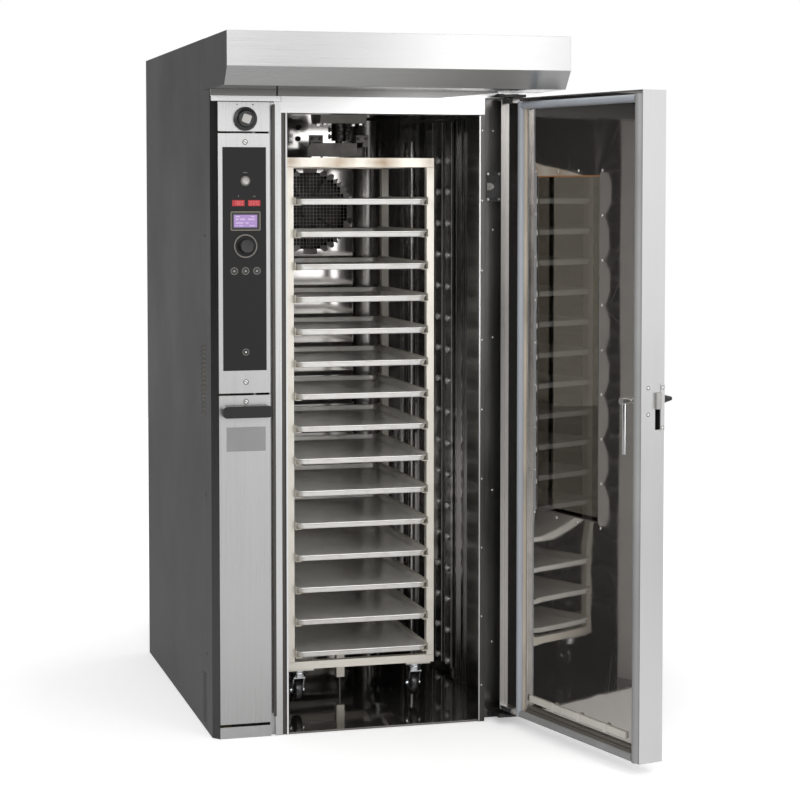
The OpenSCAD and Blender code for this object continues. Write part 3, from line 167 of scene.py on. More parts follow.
class Finish:
    """A material, or the world, that is being built one node at a time."""

    def __init__(self, name, blocks=bpy.data.materials, end="ShaderNodeOutputMaterial"):
        self.block = blocks.new(name)
        self.block.use_nodes = True
        self.tree = self.block.node_tree
        self.tree.nodes.clear()
        self.end = self.tree.nodes.new(end)

    def add(self, kind, settings=None, values=None, output=0):
        node = self.tree.nodes.new(kind)
        for name, value in (settings or {}).items():
            setattr(node, name, value)
        for name, value in (values or {}).items():
            if isinstance(value, Wire):
                self.tree.links.new(value.socket, node.inputs[name])
            else:
                node.inputs[name].default_value = value
        return Wire(self, node.outputs[output])

    def moved(self, vector, scale=(1, 1, 1), turn=(0, 0, 0), shift=(0, 0, 0)):
        return self.add("ShaderNodeMapping", None, {
            "Vector": vector, "Scale": scale, "Rotation": turn, "Location": shift})

    def place(self, **change):
        return self.moved(self.add("ShaderNodeTexCoord", output="Object"), **change)

    def parts(self, vector):
        outputs = self.add("ShaderNodeSeparateXYZ", None, {"Vector": vector}).socket.node.outputs
        return [Wire(self, outputs[axis]) for axis in "XYZ"]

    def noise_at(self, vector, detail, roughness):
        return self.add("ShaderNodeTexNoise", None, {
            "Vector": vector, "Scale": 1.0, "Detail": detail, "Roughness": roughness})

    def noise(self, fineness, detail, roughness):
        """Noise over the object, with one fineness or one for each axis."""
        scale = fineness if isinstance(fineness, tuple) else (fineness,) * 3
        return self.noise_at(self.place(scale=scale), detail, roughness)

    def blend(self, share, first, second):
        return self.add("ShaderNodeMix", {"data_type": "RGBA"},
                        {0: share, 6: first, 7: second}, output=2)

    def relief(self, height, depth, strength=1.0):
        return self.add("ShaderNodeBump", None, {
            "Height": height, "Distance": depth, "Strength": strength})

    def close(self, shader):
        self.tree.links.new(shader.socket, self.end.inputs["Surface"])
        return self.block

    def surface(self, **sockets):
        values = {name.replace("_", " "): value for name, value in sockets.items()}
        return self.close(self.add("ShaderNodeBsdfPrincipled", None, values, output="BSDF"))


def paint(red, green, blue):
    return (red, green, blue, 1.0)


def grey(value, warmth=0.0):
    return (value * (1 + warmth), value, value * (1 - warmth), 1.0)


def shade(colour, factor, top=1.0):
    return (*(min(c * factor, top) for c in colour[:3]), 1.0)


def diagonal(a, b):
    return (a * a + b * b) ** 0.5


print("shader helpers ready")

# %% [markdown]
# ## Brushed sheet
#
# The outer sheet is stainless steel, brushed along its length. Brushing is thousands of
# fine parallel scratches, so the noise is squeezed across the brushing and stretched
# along it. It feeds the colour, the roughness and a very small relief. A second, broad
# noise adds the faint smudges of a handled sheet. Sheets that face a dark side of the
# room have a darker steel, and the pale ones turn to the lamps.

# %% Brushed sheet
def brushed(name, colour, along, rough=0.3, smudge=0.06, contrast=0.12):
    finish = Finish(name)
    grain = finish.noise(tuple(3.0 if axis in along else 520.0 for axis in "xyz"), 4.0, 0.6)
    broad = finish.noise(2.2, 3.0, 0.55)
    change = (grain - 0.5) * (contrast * 2) + (broad - 0.5) * contrast + 1.0
    base = finish.blend(((change - 0.7) / 0.6).held(), shade(colour, 0.6),
                        shade(colour, 1.25, top=0.95))
    roughness = (grain - 0.5) * 0.16 + (broad - 0.5) * (smudge * 2) + rough
    return finish.surface(
        Base_Color=base, Metallic=1.0, Roughness=roughness.held(0.05, 0.9),
        Normal=finish.relief(grain, 0.00003, 0.6))


steel_up = brushed("brushed_steel_upright", grey(0.55), "z", contrast=0.06)
steel_door = brushed("brushed_steel_door", grey(0.52), "z", 0.36, contrast=0.05)
steel_edge = brushed("door_edge_steel", grey(0.82), "z", 0.34, contrast=0.05)
# A dark copy of the steel: painted shade on the hood's underside, in the lintel's recess and in
# its shadow strip.
under_steel = brushed("hood_underside", grey(0.17, 0.02), "x", 0.16, 0.3, 0.2)
hood_steel = brushed("hood_steel", grey(0.50), "x", 0.3, 0.03, 0.05)
lintel_steel = brushed("lintel_steel", grey(0.71), "x", 0.24, 0.03, 0.02)
chamfer_steel = brushed("chamfer_steel", grey(0.10), "z")
strip_steel = brushed("polished_strip", grey(0.70), "z", 0.2)
jamb_steel = brushed("jamb_steel", grey(0.19, 0.03), "z", 0.2, 0.12)
land_steel = brushed("seal_land_steel", grey(0.10, 0.03), "z", 0.2, 0.2)
corner_steel = brushed("corner_steel", grey(0.15, 0.03), "z", 0.3, 0.1)
strip_sheet = brushed("bolted_strip", grey(0.34, 0.02), "z", 0.16, 0.2)
print("brushed sheet made")

# %% [markdown]
# ## Mirror sheet
#
# The cavity and the inside of the door are polished steel, so thin that it is never
# quite flat. Slow waves in the relief bend the reflections as the real sheet does, and
# hairline scratches run in several directions. On the door the sheet is also drawn up
# along the window and pulled in at each screw. The cavity is darker towards its floor,
# which is painted shade.

# %% Mirror sheet
WINDOW_LOW = Vector((-0.069, DOOR_SKIN, 0.721))
WINDOW_HIGH = Vector((0.271, DOOR_SKIN, 1.773))
WINDOW_SCREW_OUT = 0.014
WINDOW_SCREW_STEP = (WINDOW_HIGH.z - WINDOW_LOW.z + 2 * WINDOW_SCREW_OUT) / 8
RIM_REACH, RIM_HEIGHT = 0.085, 0.0021
DENT_REACH, DENT_DEPTH = 0.060, 0.00026
SCRATCH_SCALE = (520, 520, 5)
FLOOR_SHADE_TOP = 0.55


def door_place(finish):
    """The shader's place, turned back to where it is when the door is shut."""
    return finish.place(turn=(0, 0, -DOOR_ANGLE), shift=shut.translation)


def door_shape(finish):
    """Height of the door's skin: drawn up at the window's edge, pulled in at each screw."""
    x, _, z = finish.parts(door_place(finish))
    middle, half = (WINDOW_LOW + WINDOW_HIGH) / 2, (WINDOW_HIGH - WINDOW_LOW) / 2
    beside = (abs(x - middle.x) - half.x).held(0, 9)
    above = (abs(z - middle.z) - half.z).held(0, 9)
    step = (z - (WINDOW_LOW.z - WINDOW_SCREW_OUT)) / WINDOW_SCREW_STEP + 0.5
    along = abs(step.math("FRACT", step) - 0.5) * WINDOW_SCREW_STEP
    across = abs(abs(x - middle.x) - half.x - WINDOW_SCREW_OUT)
    rim = ((1.0 - diagonal(beside, above) / RIM_REACH).held() ** 2) * RIM_HEIGHT
    return rim - ((1.0 - diagonal(along, across) / DENT_REACH).held() ** 2) * DENT_DEPTH


def hairlines(finish, where, angles):
    """Fine straight scratches: noise that is long one way, cut off near its peaks."""
    total = 0.0
    for angle in angles:
        turned = finish.moved(where, turn=(0, math.radians(angle), math.radians(angle * 0.37)))
        streaks = finish.moved(turned, scale=SCRATCH_SCALE, shift=(angle, 0, 0))
        total = total + finish.noise_at(streaks, 1.0, 0.4).above(0.74, 22)
    return total.held()


def mirror(name, colour, wave, rough=0.07, scratches=0.35, door=False, floor_shade=0.0):
    finish = Finish(name)
    stain = finish.noise(5, 5.0, 0.62).above(0.45, 2.2)
    marks = hairlines(finish, door_place(finish) if door else finish.place(),
                      (8, 34, 71, 118, 152) if door else (25, 80, 140)) * scratches
    base = finish.blend(stain * 0.5, colour, shade(colour, 0.72))
    # Darker towards the cavity's floor: painted shade.
    if floor_shade:
        height = finish.parts(finish.place())[2]
        base = finish.blend((1.0 - height / FLOOR_SHADE_TOP).held() * floor_shade, base, grey(0.05, 0.1))
    base = finish.blend(marks * 0.30, base, grey(0.9))
    shape = finish.noise(3.4, 1.0, 0.4) * wave
    if door:
        shape = shape + door_shape(finish)
    return finish.surface(
        Base_Color=base, Metallic=0.95, Normal=finish.relief(shape, 1.0),
        Roughness=(stain * 0.05 + marks * 0.16 + rough).held(0.03, 0.9))


mirror_cavity = mirror("mirror_cavity", grey(0.46, 0.03), 0.0005, floor_shade=0.7)
mirror_floor = mirror("mirror_floor", grey(0.26, 0.04), 0.0005, rough=0.05)
mirror_door = mirror("mirror_door", grey(0.53, 0.05), 0.0007, rough=0.03, scratches=0.8,
                     door=True)
print("mirror sheet made")

# %% [markdown]
# ## The rack's steel, the trays and the greyer steels
#
# The rack has been through many bakes: its tubes are satin and slightly cream, with
# brown heat tint round the welds at the top and in clouds elsewhere. The trays are
# lighter and carry faint baked stains. The yoke and the hinges are dark steel; the
# bearing plate and the air column are lighter.

# %% Steels of the inside
def rack_steel(name):
    finish = Finish(name)
    x, _, height = finish.parts(finish.place())
    side = abs(x)
    cloud = finish.noise((9, 9, 14), 5.0, 0.6)
    grain = finish.noise((420, 420, 30), 3.0, 0.6)
    near_top = (1.0 - abs(height - (RACK_TOP - 0.015)) / 0.06).held()
    near_middle = (1.0 - abs(side - 0.080) / 0.07).held()
    near_post = (1.0 - abs(side - 0.235) / 0.04).held()
    tint = (near_top * (near_middle + near_post * 0.6) * (cloud + 0.15) * 1.5).held()
    tint = (tint + cloud.above(0.56, 2.4) * 0.5).held()
    base = finish.blend(tint, paint(0.86, 0.82, 0.74), paint(0.48, 0.37, 0.26))
    base = finish.blend(grain.above(0.5, 1.2) * 0.5, base, paint(0.52, 0.49, 0.45))
    return finish.surface(
        Base_Color=base, Metallic=0.55, Roughness=cloud * 0.16 + tint * 0.12 + 0.26,
        Normal=finish.relief(grain, 0.00004, 0.7))


def tray_steel(name):
    finish = Finish(name)
    cloud = finish.noise((16, 9, 30), 5.0, 0.62)
    speck = finish.noise(190, 2.0, 0.5)
    stain = (cloud.above(0.5, 3.0) * 0.6 + speck.above(0.68, 9) * 0.4).held()
    return finish.surface(
        Base_Color=finish.blend(stain, paint(0.94, 0.93, 0.90), paint(0.62, 0.57, 0.50)),
        Metallic=0.55, Roughness=cloud * 0.2 + 0.22, Normal=finish.relief(cloud, 0.0006, 0.5))


def plain_steel(name, colour, rough, cloudiness=0.25, metallic=1.0, depth=0.0001):
    finish = Finish(name)
    cloud = finish.noise(14, 5.0, 0.6)
    fine = finish.noise(340, 3.0, 0.6)
    return finish.surface(
        Base_Color=finish.blend(cloud.above(0.35, 2.2), colour, shade(colour, 1 - cloudiness * 2)),
        Metallic=metallic, Roughness=((cloud - 0.5) * 0.25 + rough).held(0.04, 0.95),
        Normal=finish.relief(fine, depth, 0.6))


rack_metal = rack_steel("rack_steel")
tray_metal = tray_steel("tray_steel")
yoke_metal = plain_steel("yoke_steel", grey(0.085, 0.06), 0.38)
column_metal = plain_steel("air_column_steel", grey(0.42, 0.03), 0.22, 0.12)
guard_metal = plain_steel("guard_steel", grey(0.30, 0.04), 0.4, metallic=0.6)
bolt_metal = plain_steel("bolt_steel", grey(0.66, 0.03), 0.24, 0.15)
bright_bolt = plain_steel("bright_bolt_steel", grey(0.86, 0.02), 0.3, 0.08, 0.55)
stud_metal = plain_steel("stud_steel", grey(0.86, 0.03), 0.35, 0.08, 0.1)
roof_sheet = plain_steel("galvanised_roof", grey(0.34), 0.55, 0.1, 0.3)
start_metal = plain_steel("start_steel", grey(0.52, 0.04), 0.42, 0.3, 0.5)
dark_bolt = plain_steel("dark_bolt_steel", grey(0.06), 0.4, 0.2)
zinc = plain_steel("bright_zinc", paint(0.72, 0.75, 0.78), 0.2, 0.12)
chrome = plain_steel("chrome", grey(0.74), 0.1, 0.06, depth=0.00002)
heater_metal = plain_steel("heater_steel", grey(0.12, 0.15), 0.5, 0.3)
hinge_metal = plain_steel("hinge_steel", grey(0.075, 0.04), 0.42, 0.3)
ring_metal = plain_steel("ring_steel", grey(0.17, 0.07), 0.34, 0.1)
frame_metal = plain_steel("screen_frame", paint(0.20, 0.18, 0.15), 0.4, 0.1)
brass = plain_steel("brass", paint(0.66, 0.48, 0.18), 0.3)
copper_tint = plain_steel("glass_sealant", paint(0.42, 0.17, 0.05), 0.55, 0.3, 0.0)
print("steels made")

# %% [markdown]
# ## Paint, glass, plastic and rubber
#
# The side panels are painted dark grey with the slight orange peel of a powder coat, and
# towards the floor they turn paler, which is a painted reflection of the floor. The control
# fascia is black printed glass. The window is dark tinted glass: a pane lets through about
# a third of the light, so two panes together look nearly black from outside and mirror the
# rack when the door is open. The lamp's cover is a clear film, since glass that lies on a
# sheet would turn black. The door seal is blue-grey silicone, a little chalky.

# %% Paint, glass, plastic and rubber
def coat(name, colour, rough, fineness, depth, sheen=0.0, variation=0.12, gloss=0.5, floor_reflection=0.0):
    finish = Finish(name)
    peel = finish.noise(fineness, 2.0, 0.5)
    cloud = finish.noise(3.1, 4.0, 0.55)
    base = finish.blend(cloud.above(0.3, 2.4), shade(colour, 1 + variation),
                        shade(colour, 1 - variation))
    # Paler towards the floor: a painted reflection of the floor.
    if floor_reflection:
        low = (1.0 - finish.parts(finish.place())[2] / 2.1).held() * floor_reflection
        base = finish.blend(low, base, grey(0.30))
    return finish.surface(
        Base_Color=base, Roughness=((cloud - 0.5) * 0.12 + rough).held(0.03, 1),
        Coat_Weight=sheen, Coat_Roughness=0.12, Specular_IOR_Level=gloss,
        Normal=finish.relief(peel, depth, 0.5))


def pane(name, colour):
    finish = Finish(name)
    return finish.surface(Base_Color=colour, Transmission_Weight=1.0, IOR=1.52,
                          Roughness=finish.noise((7, 7, 2.5), 4.0, 0.6).above(0.5, 2) * 0.03)


def film(name, colour, cover):
    """Clear glass that lies on a sheet: mostly see-through, with a thin shine."""
    finish = Finish(name)
    smear = finish.noise(30, 3.0, 0.5)
    return finish.surface(Base_Color=colour, Roughness=smear * 0.08 + 0.03,
                          Alpha=smear * 0.1 + cover)


def lit(name, colour, glow, strength):
    finish = Finish(name)
    base = finish.blend(finish.noise(900, 1.0, 0.5) * 0.5, colour, shade(colour, 0.8))
    return finish.surface(Base_Color=base, Roughness=0.35, Emission_Color=glow,
                          Emission_Strength=strength)


def silicone(name):
    finish = Finish(name)
    cloud = finish.noise((10, 10, 1.6), 4.0, 0.6)
    line = finish.noise((380, 380, 2), 2.0, 0.5)
    base = finish.blend(cloud.above(0.3, 1.8), paint(0.40, 0.43, 0.475), paint(0.30, 0.32, 0.35))
    base = finish.blend(line.above(0.5, 1.5) * 0.5, base, paint(0.50, 0.51, 0.53))
    return finish.surface(Base_Color=base, Roughness=cloud * 0.2 + 0.32,
                          Normal=finish.relief(line, 0.00008, 0.6))


side_paint = coat("side_paint", grey(0.042), 0.5, 620, 0.00012, gloss=0.05, floor_reflection=0.3)
panel_glass = coat("black_glass", grey(0.020), 0.18, 30, 0.00002, variation=0.06, gloss=0.2)
black_plastic = coat("black_plastic", grey(0.018), 0.34, 1500, 0.00004)
black_lacquer = coat("black_lacquer", grey(0.012), 0.24, 260, 0.00005, sheen=0.15, gloss=0.35)
knob_grey = coat("knob_cap_grey", grey(0.56, 0.04), 0.4, 1300, 0.00003)
icon_grey = coat("printed_grey", grey(0.3), 0.5, 900, 0.00001)
wheel_black = coat("wheel_black", grey(0.016), 0.24, 420, 0.00006, sheen=0.3)
machine_grey = coat("machine_grey", paint(0.17, 0.20, 0.23), 0.45, 500, 0.0001)
# Near black: painted shade inside the lamp's recess.
lamp_body_shade = coat("lamp_body_painted_shade", paint(0.05, 0.047, 0.042), 0.6, 400, 0.00008, gloss=0.1)
white_face = coat("front_sheet_light", grey(0.80), 0.3, 500, 0.00002, variation=0.03)
wool = coat("mineral_wool", paint(0.50, 0.43, 0.25), 0.95, 160, 0.004, variation=0.3)
dark_strip = coat("dark_seal_strip", paint(0.055, 0.048, 0.042), 0.4, 600, 0.00005)
glass_edge = coat("glass_edge", paint(0.86, 0.86, 0.80), 0.35, 500, 0.00002)
seal_cream = coat("seal_backing", paint(0.50, 0.44, 0.36), 0.5, 700, 0.00005, variation=0.3)
seal_flank = coat("seal_flank", grey(0.27), 0.42, 500, 0.00005)
seal_strip = coat("seal_strip", paint(0.62, 0.59, 0.54), 0.4, 500, 0.00005)
seal_groove = coat("seal_groove", paint(0.11, 0.095, 0.08), 0.45, 500, 0.00005)
seal_rubber = silicone("seal_silicone")
window_pane = pane("window_pane", paint(0.33, 0.315, 0.285))
lamp_pane = film("lamp_pane", grey(0.16), 0.22)
# A small glow: a painted glint on the bulb's glass.
bulb_glint = lit("bulb", grey(0.5), paint(1.0, 0.95, 0.86), 0.2)
led_face = lit("led_face", paint(0.30, 0.015, 0.022), paint(0.50, 0.025, 0.035), 0.36)
led_digit = lit("led_digit", paint(0.55, 0.12, 0.12), paint(0.80, 0.22, 0.22), 0.45)
screen_face = lit("screen_face", paint(0.24, 0.16, 0.34), paint(0.34, 0.22, 0.48), 0.55)
screen_mark = lit("screen_mark", paint(0.36, 0.27, 0.42), paint(0.52, 0.40, 0.62), 0.6)
print("coats, glass and silicone made")

# %% [markdown]
# ## Ways to make a piece
#
# New pieces are bmeshes that start from one operator and are shaped by others. The
# helpers below make a rounded block, a flat outline that is thickened, a turned form,
# which is an outline spun about an axis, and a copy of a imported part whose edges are
# rounded. The copy is merged first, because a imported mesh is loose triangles.

# %% Ways to make a piece
def make_object(bm, name, materials):
    mesh = bpy.data.meshes.new(name)
    bm.to_mesh(mesh)
    bm.free()
    for material in materials:
        mesh.materials.append(material)
    return linked(name, mesh)


def finish_piece(bm, name, materials, body, slot, stands_for=(), crease=38, turn=None):
    """Turns a bmesh into a piece that rides on a body."""
    if turn is not None:
        bmesh.ops.transform(bm, matrix=turn, verts=bm.verts)
    for face in bm.faces:
        face.smooth = True
    for edge in bm.edges:
        if len(edge.link_faces) == 2:
            edge.smooth = edge.calc_face_angle(0.0) < math.radians(crease)
    piece = make_object(bm, name, materials)
    weighted = piece.modifiers.new("even_normals", "WEIGHTED_NORMAL")
    weighted.keep_sharp = True
    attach(piece, body)
    if stands_for:
        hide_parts(*stands_for)
    return piece


def verts_of(geometry):
    return [item for item in geometry if isinstance(item, bmesh.types.BMVert)]


def soften(bm, edges, width, segments):
    bmesh.ops.bevel(bm, geom=edges, offset=width, segments=segments, profile=0.5,
                    affect="EDGES", clamp_overlap=True, material=-1)


def round_edges(bm, width, segments=2, angle=32):
    soften(bm, [e for e in bm.edges if len(e.link_faces) == 2
                and e.calc_face_angle(0.0) > math.radians(angle)], width, segments)


def round_corners(bm, radius, segments):
    bmesh.ops.bevel(bm, geom=list(bm.verts), offset=radius, segments=segments, profile=0.5,
                    affect="VERTICES", clamp_overlap=True, material=-1)


def dressed(node, materials, width, segments=2, pick=None):
    """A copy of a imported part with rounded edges, shown in its place."""
    bm = bmesh.new()
    bm.from_mesh(frame["nodes"][node].data)
    bmesh.ops.remove_doubles(bm, verts=bm.verts, dist=0.00001)
    bmesh.ops.dissolve_limit(bm, angle_limit=math.radians(0.4), verts=bm.verts, edges=bm.edges,
                             delimit={"NORMAL"})
    if width:
        round_edges(bm, width, segments)
    if pick:
        for face in bm.faces:
            face.material_index = pick(face.calc_center_median(), face.normal)
    return finish_piece(bm, node + "_dressed", materials, body_of_node[node],
                        slot_of_node[node], [node])


def add_block(bm, low, high, width=0.0, segments=1, index=0):
    made = bmesh.ops.create_cube(bm, size=1.0)["verts"]
    bmesh.ops.scale(bm, vec=Vector(high) - Vector(low), verts=made)
    bmesh.ops.translate(bm, vec=(Vector(high) + Vector(low)) / 2, verts=made)
    for face in {f for v in made for f in v.link_faces}:
        face.material_index = index
    if width:
        soften(bm, list({e for v in made for e in v.link_edges}), width, segments)


def block_piece(name, blocks, material, body, slot, width=0.0, **more):
    """A piece made of blocks, each given by two opposite corners."""
    bm = bmesh.new()
    for low, high in blocks:
        add_block(bm, low, high, width)
    return finish_piece(bm, name, [material], body, slot, **more)


def add_outline(bm, points):
    return bm.faces.new([bm.verts.new(point) for point in points])


def cut_middle(bm, width):
    """Leaves only a band of that width along the edge of a flat outline."""
    middle = list(bm.faces)
    bmesh.ops.inset_region(bm, faces=middle, thickness=width, use_boundary=True,
                           use_even_offset=True)
    bmesh.ops.delete(bm, geom=middle, context="FACES_ONLY")


def thicken(bm, shift):
    """Gives a flat outline its thickness towards -Y."""
    raised = bmesh.ops.extrude_face_region(bm, geom=list(bm.faces))["geom"]
    bmesh.ops.translate(bm, vec=(0, -shift, 0), verts=verts_of(raised))
    bmesh.ops.recalc_face_normals(bm, faces=bm.faces)


AXES = {"x": turning(90, "Y"), "-x": turning(-90, "Y"), "y": turning(-90, "X"),
        "-y": turning(90, "X"), "z": Matrix.Identity(4), "-z": turning(180, "X")}


def add_turned(bm, outline, at, axis="z", steps=24, index=0):
    """Spins an outline of (radius, height) pairs about an axis through a point."""
    corners = [bm.verts.new((radius, 0, height)) for radius, height in outline]
    edges = [bm.edges.new(pair) for pair in zip(corners, corners[1:])]
    made = bmesh.ops.spin(bm, geom=corners + edges, axis=(0, 0, 1), cent=(0, 0, 0),
                          angle=math.radians(360), steps=steps, use_merge=True)
    queue = [v for v in corners if v.is_valid] + verts_of(made["geom_last"])
    island = set(queue)
    while queue:
        for vert in {v for edge in queue.pop().link_edges for v in edge.verts} - island:
            island.add(vert)
            queue.append(vert)
    faces = {f for v in island for f in v.link_faces}
    for face in faces:
        face.material_index = index
    bmesh.ops.transform(bm, matrix=Matrix.Translation(at) @ AXES[axis], verts=list(island))
    bmesh.ops.remove_doubles(bm, verts=list(island), dist=0.000002)
    bmesh.ops.recalc_face_normals(bm, faces=[f for f in faces if f.is_valid])


def dome(radius, height, steps=3):
    """Outline of a screw's domed head, from its foot to its crown."""
    turns = [math.radians(90) * i / steps for i in range(steps)]
    return [(radius, 0)] + [(radius * math.cos(a), height * (0.35 + 0.65 * math.sin(a)))
                            for a in turns] + [(0, height)]


def screw_row(name, places, axis, size, material, body, slot, turn=None, steps=14, ring=0.0):
    """Domed screws of a (radius, height); a ring is the dark gap round each of them."""
    bm = bmesh.new()
    radius = size[0]
    for at in places:
        add_turned(bm, dome(*size), Vector(at), axis, steps)
        if ring:
            add_turned(bm, [(radius + ring, 0), (radius + ring, 0.0003), (radius, 0.0004),
                            (radius, 0), (radius + ring, 0)], Vector(at), axis, steps, index=1)
    return finish_piece(bm, name, [material, dark_bolt], body, slot, crease=50, turn=turn)


def hexagon_bolts(name, places, size, material, body, slot):
    """Bolt heads of (width across, height), which are six-sided turned forms."""
    bm = bmesh.new()
    across, height = size
    corner = across / math.sqrt(3)
    for axis, at in places:
        add_turned(bm, [(0, height), (corner * 0.82, height), (corner, height * 0.78),
                        (corner, 0)], Vector(at), axis, 6)
    return finish_piece(bm, name, [material], body, slot, crease=30)


print("piece helpers ready")

# %% [markdown]
# ## The outer sheet metal
#
# Real folded sheet has edges with a radius of about a millimetre, and those edges are
# what shows in a bright room. Each packed sheet part is copied and its edges rounded.
# The thin cabinet panels keep their louvre slots, which are part of the copy. Where a
# part has several finishes, its faces are given one by where they lie.

# %% Cabinet sheets
SCREW_REACH, SCREW_SLOT = 0.0078, 0.0018
HOOD_UNDERSIDE, FASCIA_END, RECESS_DEPTH = 2.06, -0.33, 0.006


def panel_part(centre, normal):
    """The quarter-turn screws in a panel: bright heads with a dark slot."""
    if centre.y > FRONT - 0.0003 or abs(centre.x - PANEL_LINE) > SCREW_REACH:
        return 0
    return 1 if centre.y < FRONT - SCREW_SLOT else 2


# The hood's underside takes the dark steel, which is painted shade.
def hood_part(centre, normal):
    if abs(normal.x) > 0.8:
        return 1
    return 2 if normal.z < -0.8 and centre.z < HOOD_UNDERSIDE else 0


def lintel_part(centre, normal):
    """The recessed strip between the column's fascia and the hood lies in the dark."""
    recessed = centre.y > FRONT + RECESS_DEPTH and centre.x < FASCIA_END
    return 1 if recessed and normal.y < -0.9 else 0


dressed("hood_shell", [hood_steel, side_paint, under_steel], 0.0016, pick=hood_part)
for node, material, width in [
        ("roof_panel", roof_sheet, 0.0007), ("lintel", lintel_steel, 0.0006),
        ("damper_panel", steel_up, 0.0007), ("control_panel", steel_up, 0.0006),
        ("left_side_panels", side_paint, 0.0006), ("right_side_panels", side_paint, 0.0006),
        ("rear_panel", side_paint, 0.0007)]:
    second = under_steel if node == "lintel" else bright_bolt
    made = dressed(node, [material, second, dark_bolt], width,
                   pick={"control_panel": panel_part, "lintel": lintel_part}.get(node))
    print(node, "faces", len(made.data.polygons))

# %% [markdown]
# ## The column and the jamb
#
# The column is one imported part. The chamfered corner reflects the dark side of the room,
# so its steel is darker; beside the doorway stand a polished strip, a dark seal strip
# and the pale cut edge of the doorway's sheet. The jamb on the hinge side has a bright
# edge of its own, and a shadow lies along the top of the lintel.

# %% The column and the jamb
JAMB_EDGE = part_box("right_jamb")[0][0]
LINTEL_LEFT, SHADE_LOW, SHADE_TOP = -0.3235, 2.0215, 2.0425
SHADE_BEND, SHADE_RIGHT, SHADE_END = 0.20, 0.40, 2.0400
CHAMFER_END, POLISHED_FROM, POLISHED_TO = -0.5135, -0.337, -0.3125
DARK_FROM, DARK_TO, CUT_EDGE = -0.3132, -0.2995, -0.2998
JAMB_CORNER, SEAL_LAND = 0.529, 0.37


def column_part(centre, normal):
    if centre.x < CHAMFER_END:
        return 1
    if POLISHED_FROM < centre.x < POLISHED_TO:
        return 2
    if DARK_FROM < centre.x < DARK_TO:
        return 3
    return 4 if centre.x > CUT_EDGE else 0


def jamb_part(centre, normal):
    if centre.x > JAMB_CORNER:
        return 1
    return 2 if centre.y < FRONT + 0.0003 and centre.x < SEAL_LAND else 0


post = dressed("column_post", [steel_up, chamfer_steel, strip_steel, dark_strip, white_face],
               0.0006, pick=column_part)
jamb = dressed("right_jamb", [jamb_steel, corner_steel, land_steel], 0.0006, pick=jamb_part)
bm = bmesh.new()
add_outline(bm, [(x, FRONT - 0.0001, z) for x, z in [
    (LINTEL_LEFT, SHADE_TOP), (LINTEL_LEFT, SHADE_LOW), (SHADE_BEND, SHADE_LOW),
    (SHADE_RIGHT, SHADE_END), (SHADE_RIGHT, SHADE_TOP)]])
thicken(bm, 0.0003)
finish_piece(bm, "lintel_shadow_strip", [under_steel], "cabinet", "brushed_sheet")
block_piece("jamb_bright_edge", [((JAMB_EDGE + 0.0004, FRONT - 0.0004, 0.002),
                                  (JAMB_EDGE + 0.0044, FRONT, 1.966))],
            strip_steel, "cabinet", "brushed_sheet")
print("column faces", len(post.data.polygons), "jamb faces", len(jamb.data.polygons))

# %% [markdown]
# ## Screws of the outer sheets
#
# The heads and slots of the quarter-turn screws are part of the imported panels, and so
# are the pan heads on the side panels. Added here are a bright rim round each
# quarter-turn screw and two rows of fine domed screws on the jamb.

# %% Small screws
QUARTER_TURN_HEIGHTS = (1.878, 1.128, 1.066)
JAMB_SCREW_X, JAMB_SCREW_LOW, JAMB_SCREW_STEP, JAMB_SCREWS = 0.3475, 0.12, 0.225, 9
RECESS_X, RECESS_FACE, RECESS_HEIGHTS = 0.398, -0.475, (0.25, 0.75, 1.25, 1.60, 1.92)
jamb_screws = screw_row(
    "jamb_screws", [(JAMB_SCREW_X, FRONT, JAMB_SCREW_LOW + i * JAMB_SCREW_STEP)
                    for i in range(JAMB_SCREWS)], "-y",
    (0.0032, 0.0016), bolt_metal, "cabinet", "brushed_sheet")
screw_row("recess_screws", [(RECESS_X, RECESS_FACE, z) for z in RECESS_HEIGHTS], "-y",
          (0.0036, 0.0018), bolt_metal, "cabinet", "brushed_sheet")
screw_row("quarter_turn_rims", [(PANEL_LINE, FRONT, z) for z in QUARTER_TURN_HEIGHTS], "-y",
          (0.0063, 0.0010), bright_bolt, "cabinet", "brushed_sheet", steps=28, ring=0.0022)
print("jamb screws", len(jamb_screws.data.polygons))

# %% [markdown]
# ## Service panel, bow handle and data plate
#
# The lower door of the column carries a black bow handle and a plain data plate with
# nothing printed on it. The handle is a moulded bar with well rounded edges, so it gets
# a much wider bevel than the sheet. A dark gap runs beside the panels.

# %% Service panel
PLATE_LOW, PLATE_HIGH = 0.90, 0.99


def service_part(centre, normal):
    on_plate = centre.y < FRONT - 0.0002 and PLATE_LOW < centre.z < PLATE_HIGH
    return 3 if on_plate else panel_part(centre, normal)


dressed("service_panel", [steel_up, bright_bolt, dark_bolt, icon_grey], 0.0005,
        pick=service_part)
block_piece("column_shadow_gap", [((-0.3425, FRONT - 0.0004, 0.062), (-0.3330, FRONT, 1.996))],
            dark_strip, "cabinet", "black_plastic")
bow = dressed("service_handle", [black_lacquer], 0.0042, segments=4)
print("bow handle faces", len(bow.data.polygons))

# %% [markdown]
# ## The control fascia
#
# Black glass carries, from the top, a bright start button, two red number displays, a
# violet screen in a metal frame, a dial with its ring and three small buttons. Below is
# one more button.

# %% Fascia glass and frames
SCREEN_Z = 1.632
DISPLAY_LOW, DISPLAY_Z, DISPLAY_HIGH = 1.675, 1.688, 1.70


def display_part(centre, normal):
    if DISPLAY_LOW < centre.z < DISPLAY_HIGH:
        return 1
    off_x, off_z = abs(centre.x - PANEL_LINE), abs(centre.z - SCREEN_Z)
    if off_x < 0.0374 and off_z < 0.0199 and normal.y < -0.9 and centre.y > GLASS_FACE - 0.0015:
        return 2
    return 3 if off_z < 0.031 else 0


